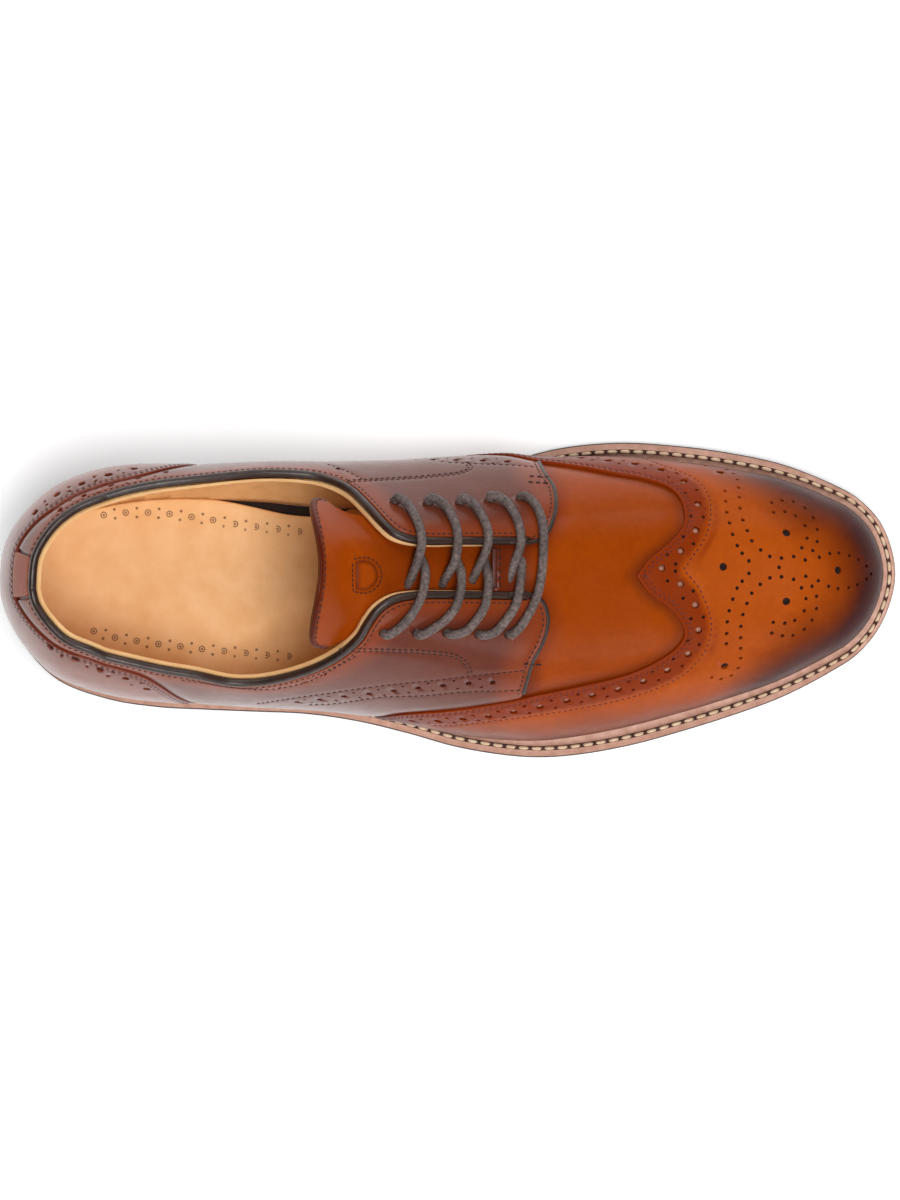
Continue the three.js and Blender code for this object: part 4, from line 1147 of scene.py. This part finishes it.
ring_piece("vamp", [outer_edge] + shell_holes, "vamp_leather", vamp_leather, vamp_lift, flat(VAMP_UNDER), 2.2,
           [sideways(wing_edge, -d) for d in (0.4, 1.2)] + [sideways(front_line[s], -d * s)
                                                           for s in (1, -1) for d in (0.4, 1.2)],
           ["upper"], {"burnish_and_shade": vamp_painted_shade, "band": vamp_shade_band})
_, lining_edge = shell_loop(0.15, SLOT_END + 0.012)
ring_piece("lining", [outer_edge, lining_edge] + rings(eyelets[1], 1.9, 12) + rings(eyelets[-1], 1.9, 12),
           "lining_leather", lining_leather, flat(LINING_TOP), flat(LINING_UNDER), 2.4)


# Piping round the opening and the fronts of the facings
ROLL_SIDES = 12
PIPING_LOW, PIPING_HIGH = -2.3, 0.32


def roll(line, width, low, high, side, inward=0.0):
    """A rounded strip along a line in the chart, from its edge down the leather by width."""
    middle = sideways(line, side * (width / 2 + inward))
    points, normals = surface(middle, (low + high) / 2)
    width = np.reshape(width, (-1, 1, 1))
    along = np.gradient(points, axis=0)
    along /= np.linalg.norm(along, axis=1)[:, None]
    across = np.cross(normals, along)
    turn = np.arange(ROLL_SIDES) / ROLL_SIDES * 2 * math.pi
    c, s = np.cos(turn), np.sin(turn)
    c, s = np.sign(c) * np.abs(c) ** 0.75, np.sign(s) * np.abs(s) ** 0.75
    ring = (points[:, None] + across[:, None] * c[None, :, None] * width / 2
            + normals[:, None] * (s * (high - low) / 2)[None, :, None])
    return ring


def add_roll(name, rings, slot, material, replaces=()):
    add_mesh(name, rings.reshape(-1, 3), ring_faces(len(rings), ROLL_SIDES), slot, material, replaces)


lateral_roll = roll(topline[-1][::-1], BINDING_WIDTH, PIPING_LOW, PIPING_HIGH, 1)
medial_roll = roll(topline[1], BINDING_WIDTH, PIPING_LOW, PIPING_HIGH, 1)
add_roll("piping", np.concatenate([lateral_roll[:-1], medial_roll]), "binding_leather", binding_leather,
         ["binding"])
for side, word in ((1, "medial"), (-1, "lateral")):
    line = curve(np.vstack([topline[side][-9:-3:3], front_line[side][3::4]]), 0.7)
    share = smooth(np.arange(len(line)) / 9)
    edge = roll(line, BINDING_WIDTH - share, -LEATHER, 0.25, side, inward=-share * 0.75)
    add_roll(f"front_edge_{word}", edge, "binding_leather", binding_leather)


# Folded and stitched rear edge of the vamp between the facings
fold_ends = np.array([by_at(topline[side], 0, SLOT_END)[-1] + [0.7, -side] for side in (1, -1)])
fold_line = resample(fold_ends, 0.8)
fold = roll(fold_line, 1.9, -2.7, -1.65, 1, inward=-0.95)
add_roll("vamp_fold", fold, "vamp_leather", fold_leather)


# Tongue
def tongue_lift(places):
    _, at, _ = unchart(places)
    return -LEATHER - PANEL_GAP - WALL - 0.7 + interpolate(TONGUE_LIFT, at)[:, 0]


TONGUE_HOLLOW = 4


def tongue_loop():
    """The tongue's outline. Its rear edge is hollow, with rounded corners."""
    medial = curve(chart_line(1, TONGUE_EDGE[1]), 1.0)[5:]
    lateral = curve(chart_line(-1, TONGUE_EDGE[-1]), 1.0)[5:]
    corner = {side: chart(side, TONGUE_EDGE[side][0][0], TONGUE_EDGE[side][0][1])[0] for side in (1, -1)}
    hollow = (corner[1] + corner[-1]) / 2 + [TONGUE_HOLLOW, 0]
    near = [corner[side] + (hollow - corner[side]) * 0.16 + [-0.4, 0] for side in (-1, 1)]
    rear = curve([lateral[0], near[0], hollow, near[1], medial[0]], 0.8)[1:-1]
    fore = resample(np.array([medial[-1], lateral[-1]]), 1.0)[1:-1]
    return clean(np.vstack([medial, fore, lateral[::-1], rear]))


tongue = tongue_loop()
tongue_rear = tongue[unchart(tongue)[1] < 0.366]
tongue_rear = tongue_rear[np.argsort(tongue_rear[:, 1])]
tongue_seam = tongue_rear[3:-3] + [1.9, 0]


# Darker in a rim along the tongue's rear edge, and painted shade towards its front, where it passes under the
# laces and the vamp
def tongue_rim_and_shade(places):
    _, at, _ = unchart(places)
    edge = distance_to(places, tongue_rear)
    return np.clip(1.6 * (1 - smooth((edge - 0.9) / 1.3)) + smooth((at - 0.40) / 0.05) * 0.35, 0, 1)


skin_piece("tongue_leather", tongue, "vamp_leather", vamp_leather,
           lambda p: tongue_lift(p) + rounded(tongue, 0.7)(p), lambda p: tongue_lift(p) - TONGUE + 0.3, (),
           1.5, loop_rows(tongue, (0.2, 0.5, 1.0)), ["tongue"], {"burnish_and_shade": tongue_rim_and_shade, "band": flat(0)})

# Keeper on the tongue: a strap under which a lace can pass
KEEPER_PIXELS = [(361, 560), (371, 559), (380, 564), (384.5, 576), (380, 588), (371, 594), (361, 593)]
keeper_slit = resample(at_pixels([KEEPER_PIXELS[-1], KEEPER_PIXELS[0]]), 0.7)
keeper = clean(np.vstack([curve(at_pixels(KEEPER_PIXELS), 0.7), keeper_slit[1:-1]]))
# The keeper darkens within 2 mm of its outline: painted shade at its slit and round its raised edge
skin_piece("lace_keeper", keeper, "vamp_leather", vamp_leather,
           lambda p: tongue_lift(p) + 0.35 + rounded(keeper, 0.6)(p), lambda p: tongue_lift(p) - 0.3, (), 1.0,
           loop_rows(keeper, (0.2, 0.5)), (),
           {"burnish_and_shade": lambda p: 0.75 * (1 - smooth(distance_to(p, keeper) / 2.0)), "band": flat(0)})

# Stitches
parts = []


def sew(line, lift, pitch=2.0, length=1.45, radius=0.24):
    heights = lift(line) if callable(lift) else lift
    points, normals = surface(line, heights)
    return stitch_parts(points, normals, pitch, length, radius)


for line in [toe_seam] + wing_seams:
    parts += sew(line, wing_lift)
add_mesh("wing_stitches", *joined(parts), "wing_leather", red_thread)
parts = []
for distance in (-1.4, -2.9):
    parts += sew(sideways(counter_edge, distance), counter_lift)
for side in (1, -1):
    word = "medial" if side > 0 else "lateral"
    for key, line in seams.items():
        if word in key and not key.startswith("wing"):
            parts += sew(line, quarter_lift[side])
            if key.startswith("facing"):
                parts += sew(sideways(line, 1.3), quarter_lift[side])
    parts += sew(by_at(rim(side, BINDING_WIDTH + 1.2), BACK_STRIP[side] + 0.004, 0.575), quarter_lift[side])
    parts += sew(sideways(front_line[side], 1.6 * side), quarter_lift[side])
parts += sew(tongue_seam, tongue_lift)
parts += sew(fold_line + [1.7, 0], flat(-1.95), radius=0.3)
parts += sew(sideways(keeper, 1.0, closed=True), lambda p: tongue_lift(p) + 0.3, 1.6, 1.1, 0.2)
for pixels in ((528, 476), (551, 477)), ((523, 664), (542, 665)), ((527, 482), (549, 483)):
    side = 1 if pixels[0][1] < 600 else -1
    parts += sew(resample(at_pixels(pixels), 0.8), quarter_lift[side](at_pixels(pixels))[:1], 2.2, 1.8, 0.4)
add_mesh("seam_stitches", *joined(parts), "quarter_leather", dark_thread)


# Laces
def lace_path(pixels, lifts):
    places = at_pixels(pixels)
    points, _ = surface(places, np.asarray(lifts, float))
    return curve(points, 0.7)


BAR = [(521.6, 497), (522.4, 498), (530, 504), (538, 517), (541, 534), (540.5, 554), (539, 573), (534.6, 594),
       (526, 613), (517, 626), (510.4, 633), (509.6, 634)]
BAR_LIFT = [-3.2, 1.0, 1.9, 2.1, 2.3, 2.3, 2.3, 2.3, 2.1, 1.9, 1.0, -3.2]
STRANDS = {
    2: ([(490, 498.6), (491, 499.6), (502, 504), (512, 516), (518, 531), (520, 545), (516, 565), (512, 586)],
        [(479.4, 634), (480.6, 633), (492, 630), (504, 618), (514, 602.5), (519.4, 584), (524, 567),
         (526, 550.5)]),
    3: ([(460.5, 501.3), (461.5, 502.3), (470.6, 507), (480.4, 520), (486, 534), (487, 547), (483.6, 565),
         (480, 583)],
        [(447.8, 632.8), (449, 632), (463, 628.5), (474, 618), (482.5, 605), (488, 586), (491, 570),
         (493, 556)]),
    4: ([(428.5, 502), (429.5, 502.8), (439, 506), (449, 518), (454.6, 532), (456, 545), (455.6, 561),
         (452.4, 575), (450, 588)],
        [(417, 633), (418.4, 632.4), (430.7, 626), (443.7, 617), (453.5, 605), (459, 588), (461.6, 572),
         (462, 561), (462.5, 546)]),
    5: ([(395, 501), (396, 502), (406, 509), (413.4, 521), (418, 532), (420, 545), (418, 561), (416, 578),
         (415, 589.5)],
        [(384, 633), (385.4, 632.2), (397, 625), (408, 614), (416.6, 601), (422, 587), (426, 572), (427, 560),
         (425, 547)]),
}


# Lift along a strand that ends on the vamp, and on the tongue. Columns: share of the strand, lift
ON_VAMP = [(0, -3.2), (0.07, 0.9), (0.16, 1.8), (0.4, 2.0), (0.62, 1.6), (0.8, -0.6), (0.92, -3.0), (1, -3.6)]
ON_TONGUE = [(0, -3.2), (0.07, 0.9), (0.16, 1.8), (0.4, 2.0), (0.62, 1.5), (0.78, -1.0), (0.9, -4.2),
             (1, -6.6)]


def strand(pixels, rows):
    return tube(lace_path(pixels, interpolate(rows, np.linspace(0, 1, len(pixels)))[:, 0]), LACE / 2, 12)


bar = lace_path(BAR, BAR_LIFT)
add_mesh("lace_1", *tube(bar, LACE / 2, 12), "lace_cord", lace_cord, ["lace_bar_1"])
for number, (medial, lateral) in STRANDS.items():
    both = [strand(line, ON_VAMP if number == 2 else ON_TONGUE) for line in (medial, lateral)]
    add_mesh(f"lace_{number}", *joined(both), "lace_cord", lace_cord, [f"lace_crossing_{number}"])


# The plates under the foot, each within an outline and between two heights
def plate(name, outline, low, high, slot, material, replaces=(), bevel=0.4, hole=None, pitch=6.0):
    rows = loop_rows(outline, (bevel * 0.3, bevel, bevel * 3, 5))
    verts, tris = fill(outline, [hole] if hole is not None else [], pitch, rows)
    if hole is not None:
        tris = tris[~inside(verts[tris].mean(1), hole)]
    closed = np.vstack([outline, outline[:1]])
    share = np.clip(1 - distance_to(verts, closed) / bevel, 0, 1)
    drop = bevel * (1 - np.sqrt(1 - share**2))
    at = verts[:, 0] / LENGTH
    place = verts - [LENGTH / 2, MIDDLE_Y]
    top = np.column_stack([place, high(at) - drop])
    under = np.column_stack([place, low(at) + drop])
    return add_sheet(name, top, under, tris, slot, material, replaces)


def cut_outline(outline, limit):
    """The part of an outline behind a line across the foot."""
    keep = outline[:, 0] < limit
    start = int(np.argmax(~keep & np.roll(keep, 1)))
    rolled = np.roll(outline, -start, 0)
    behind = rolled[rolled[:, 0] < limit]
    ends = [np.array([limit, behind[-1][1]]), np.array([limit, behind[0][1]])]
    return np.vstack([behind, resample(np.array(ends), 1.5)])


def steady(height):
    return lambda at: np.full(np.shape(at), float(height))


def above_welt(distance):
    return lambda at: welt_top(at) + distance


plate("outsole_leather", sole_edge, sole_bottom, lambda at: sole_bottom(at) + OUTSOLE, "sole_leather",
      sole_edge_finish, ["outsole"], 0.9)
plate("welt_ring", inset(sole_edge, 0.55), lambda at: sole_bottom(at) + OUTSOLE + 0.05, welt_top,
      "welt_leather", welt_leather, ["welt"], 0.7, hole=inset(sole_edge, WELT_RING)[::4], pitch=3.0)
heel_line = cut_outline(sole_edge, BREAST * LENGTH)
LIFTS = 3
stack_low = TOP_PIECE + 0.1
stack_high = HEEL_HEIGHT - 0.1
for number in range(LIFTS):
    low = stack_low + (stack_high - stack_low) * number / LIFTS
    high = stack_low + (stack_high - stack_low) * (number + 1) / LIFTS
    plate(f"heel_lift_{number + 1}", heel_line, steady(low + 0.03), steady(high - 0.03), "heel_leather",
          heel_leather, ["heel_block"] if number == 0 else [], 0.3, pitch=8)
plate("heel_rubber", heel_line, steady(0), steady(TOP_PIECE), "heel_rubber", heel_rubber,
      ["heel_top_piece"], 0.6, pitch=8)
foot_inset = reach_at(sole_edge) + LEATHER + WALL - 0.6
# A dark board under the sock, whose colour is painted shade in the gap where the sock stands off the lining
plate("insole_board_shade", inset(sole_edge, foot_inset)[::2], above_welt(0.05), above_welt(GAP - 0.02),
      "lining_leather", painted_shade_board, bevel=0.1)

# The sock stands off the lining a little on the medial side ahead of the heel
sock_at = sole_edge[:, 0] / LENGTH
sock_peel = 3.4 * smooth((sock_at - 0.225) / 0.11) * (1 - smooth((sock_at - 0.37) / 0.02))
sock_edge = clean(inset(sole_edge, foot_inset + sock_peel * (sole_edge[:, 1] > 0)))
plate("sock", sock_edge, above_welt(GAP), above_welt(GAP + INSOLE), "lining_leather", sock_leather,
      ["insole"], 0.8, pitch=2.5)

# Welt stitches in their groove
stitch_inset = 3.3 - 0.9 * smooth((sole_edge[:, 0] / LENGTH - 0.85) / 0.12)
stitch_line = inset(sole_edge, stitch_inset)
stitch_line = np.vstack([stitch_line, stitch_line[:1]])
welt_points = np.column_stack([stitch_line - [LENGTH / 2, MIDDLE_Y], welt_top(stitch_line[:, 0] / LENGTH)])
welt_normals = np.tile([0.0, 0.0, 1.0], (len(welt_points), 1))
add_mesh("welt_stitches", *joined(stitch_parts(welt_points, welt_normals, 4.45, 3.5, 0.62, 0.3, 0.35, 0.8)),
         "welt_leather", cream_thread)
# A flat dark band along the stitch line: painted shade of the groove that the stitches sit in
inner, outer = inset(sole_edge, stitch_inset + 0.75), inset(sole_edge, stitch_inset - 0.75)
band = np.column_stack([np.vstack([outer, inner]) - [LENGTH / 2, MIDDLE_Y],
                        np.concatenate([welt_top(e[:, 0] / LENGTH) + 0.02 for e in (outer, inner)])])
count = len(outer)
faces = [(i, i + count, (i + 1) % count + count, (i + 1) % count) for i in range(count)]
add_mesh("welt_groove_shade", band, faces, "welt_leather", welt_groove_shade)

# Pale leather in the band's big holes
parts = []
for place in holes["wing"]:
    ring = circle_in_chart(place, BIG * 0.8, 12)
    rim_points, _ = surface(ring, -0.75)
    top, _ = surface(place, -0.55)
    verts = np.vstack([rim_points, top, surface(ring, -LEATHER)[0]])
    faces = [(i, (i + 1) % 12, 12) for i in range(12)]
    faces += [((i + 1) % 12, i, 13 + i, 13 + (i + 1) % 12) for i in range(12)]
    faces.append(tuple(13 + i for i in range(12))[::-1])
    parts.append((verts, faces))
add_mesh("hole_backing", *joined(parts), "wing_leather", hole_backing)

parts = []
dark_holes = [(medallion_big, MEDAL), (medallion_small, DOT), (pair_between(holes["wing"]), SMALL),
              (counter_big, BIG), (pair_between(holes["counter_medial"]), SMALL),
              (pair_between(holes["counter_lateral"]), SMALL)]
for key in ("quarter_medial", "quarter_lateral", "collar_medial", "collar_lateral"):
    dark_holes += [(holes[key], 1.0), (pair_between(holes[key]), 0.5)]
for places, radius in dark_holes:
    for ring in rings(places, radius + 0.12, 8):
        points, _ = surface(ring, -LEATHER - 0.02)
        parts.append((points, [tuple(range(8))]))
add_mesh("hole_shadows", *joined(parts), "wing_leather", hole_shadow)

# Dotted ornament on the sock
SOCK_DOTS = {
    1: [(103.8, 515), (125.7, 512.6), (148, 512.6), (169.6, 514), (191.5, 517), (213, 520), (235, 524),
        (256, 526.7), (277.5, 529), (299, 531.6)],
    -1: [(93.8, 631), (115, 637.6), (136.6, 641), (158.5, 644), (180.4, 646.5), (202, 649), (224, 651),
         (245.5, 653), (266.7, 655), (288.4, 656)],
}


def on_sock(pixel):
    x = (pixel[0] - IMAGE_MIDDLE[0]) / PIXELS_PER_MM
    y = -(pixel[1] - IMAGE_MIDDLE[1]) / PIXELS_PER_MM
    z = 0.0
    for _ in range(4):
        shrink = (CAMERA_HEIGHT - z) / CAMERA_HEIGHT
        z = float(welt_top(x * shrink / LENGTH + 0.5)) + GAP + INSOLE
    return np.array([x * shrink, y * shrink, z + 0.08])


def disc(centre, radius, sides=14, hollow=0.0):
    turn = np.arange(sides) / sides * 2 * math.pi
    ring = np.stack([np.cos(turn), np.sin(turn), np.zeros(sides)], 1)
    outer, inner = centre + ring * radius, centre + ring * hollow
    return np.vstack([outer, inner]), [(i, (i + 1) % sides, sides + (i + 1) % sides, sides + i)
                                       for i in range(sides)]


parts = []
for side, pixels in SOCK_DOTS.items():
    centres = [on_sock(pixel) for pixel in pixels]
    for centre in centres:
        parts.append(disc(centre, 1.15, hollow=0.75))
        parts.append(disc(centre, 0.45, 10, 0.02))
    for a, b in zip(centres, centres[1:]):
        along = (b - a) / np.linalg.norm(b - a)
        across = np.array([-along[1], along[0], 0])
        for way in (-1, 1):
            parts.append(disc((a + b) / 2 + across * way * 1.5 + [0, 0, 0.01], 0.5, 10, 0.02))
add_mesh("sock_ornament", *joined(parts), "lining_leather", ornament_ink)


# Floor, light and camera
def floor():
    mesh = bpy.data.meshes.new("floor")
    size = 3
    corners = [(-size, -size, 0), (size, -size, 0), (size, size, 0), (-size, size, 0)]
    mesh.from_pydata(corners, [], [(0, 1, 2, 3)])
    piece = bpy.data.objects.new("floor", mesh)
    bpy.context.scene.collection.objects.link(piece)
    n = Nodes("floor_paper")
    n.link(n.mix(n.noise(30, 2), (0.93, 0.93, 0.93, 1), (0.95, 0.95, 0.95, 1)), n.shader.inputs["Base Color"])
    n.shader.inputs["Roughness"].default_value = 0.9
    n.shader.inputs["Specular IOR Level"].default_value = 0.1
    n.shader.inputs["Emission Color"].default_value = (1, 1, 1, 1)
    n.shader.inputs["Emission Strength"].default_value = 0.34
    mesh.materials.append(n.material)


def area_light(name, place, target, size, power):
    light = bpy.data.lights.new(name, "AREA")
    light.shape = "RECTANGLE"
    light.size, light.size_y = size
    light.energy = power
    lamp = bpy.data.objects.new(name, light)
    lamp.location = place
    lamp.rotation_euler = (Vector(target) - Vector(place)).to_track_quat("-Z", "Y").to_euler()
    bpy.context.scene.collection.objects.link(lamp)


floor()
area_light("softbox_medial", (0.0, 1.3, 0.8), (0, 0, 0.03), (1.7, 0.8), 11)
area_light("softbox_lateral", (0.1, -1.3, 0.8), (0, 0, 0.03), (1.7, 0.8), 10)
area_light("softbox_top", (0.25, -0.25, 1.9), (0.1, 0, 0.03), (0.9, 0.6), 25)
world = bpy.data.worlds.new("studio")
bpy.context.scene.world = world
world.use_nodes = True
sky = world.node_tree
spot = sky.nodes.new("ShaderNodeTexCoord")
split = sky.nodes.new("ShaderNodeSeparateXYZ")
fade = sky.nodes.new("ShaderNodeMapRange")
sky.links.new(spot.outputs["Generated"], split.inputs["Vector"])
sky.links.new(split.outputs["Z"], fade.inputs["Value"])
for key, value in (("From Min", 0.1), ("From Max", 0.85), ("To Min", 0.8), ("To Max", 0.42)):
    fade.inputs[key].default_value = value
sky.links.new(fade.outputs["Result"], sky.nodes["Background"].inputs["Strength"])
bpy.context.scene.view_settings.view_transform = "Standard"

camera = bpy.data.objects.new("camera", bpy.data.cameras.new("camera"))
camera.location = (0, 0, CAMERA_HEIGHT * MM)
camera.data.sensor_fit = "VERTICAL"
camera.data.sensor_height = 36
camera.data.lens = PIXELS_PER_MM * CAMERA_HEIGHT * 36 / 1200
bpy.context.scene.collection.objects.link(camera)
bpy.context.scene.camera = camera
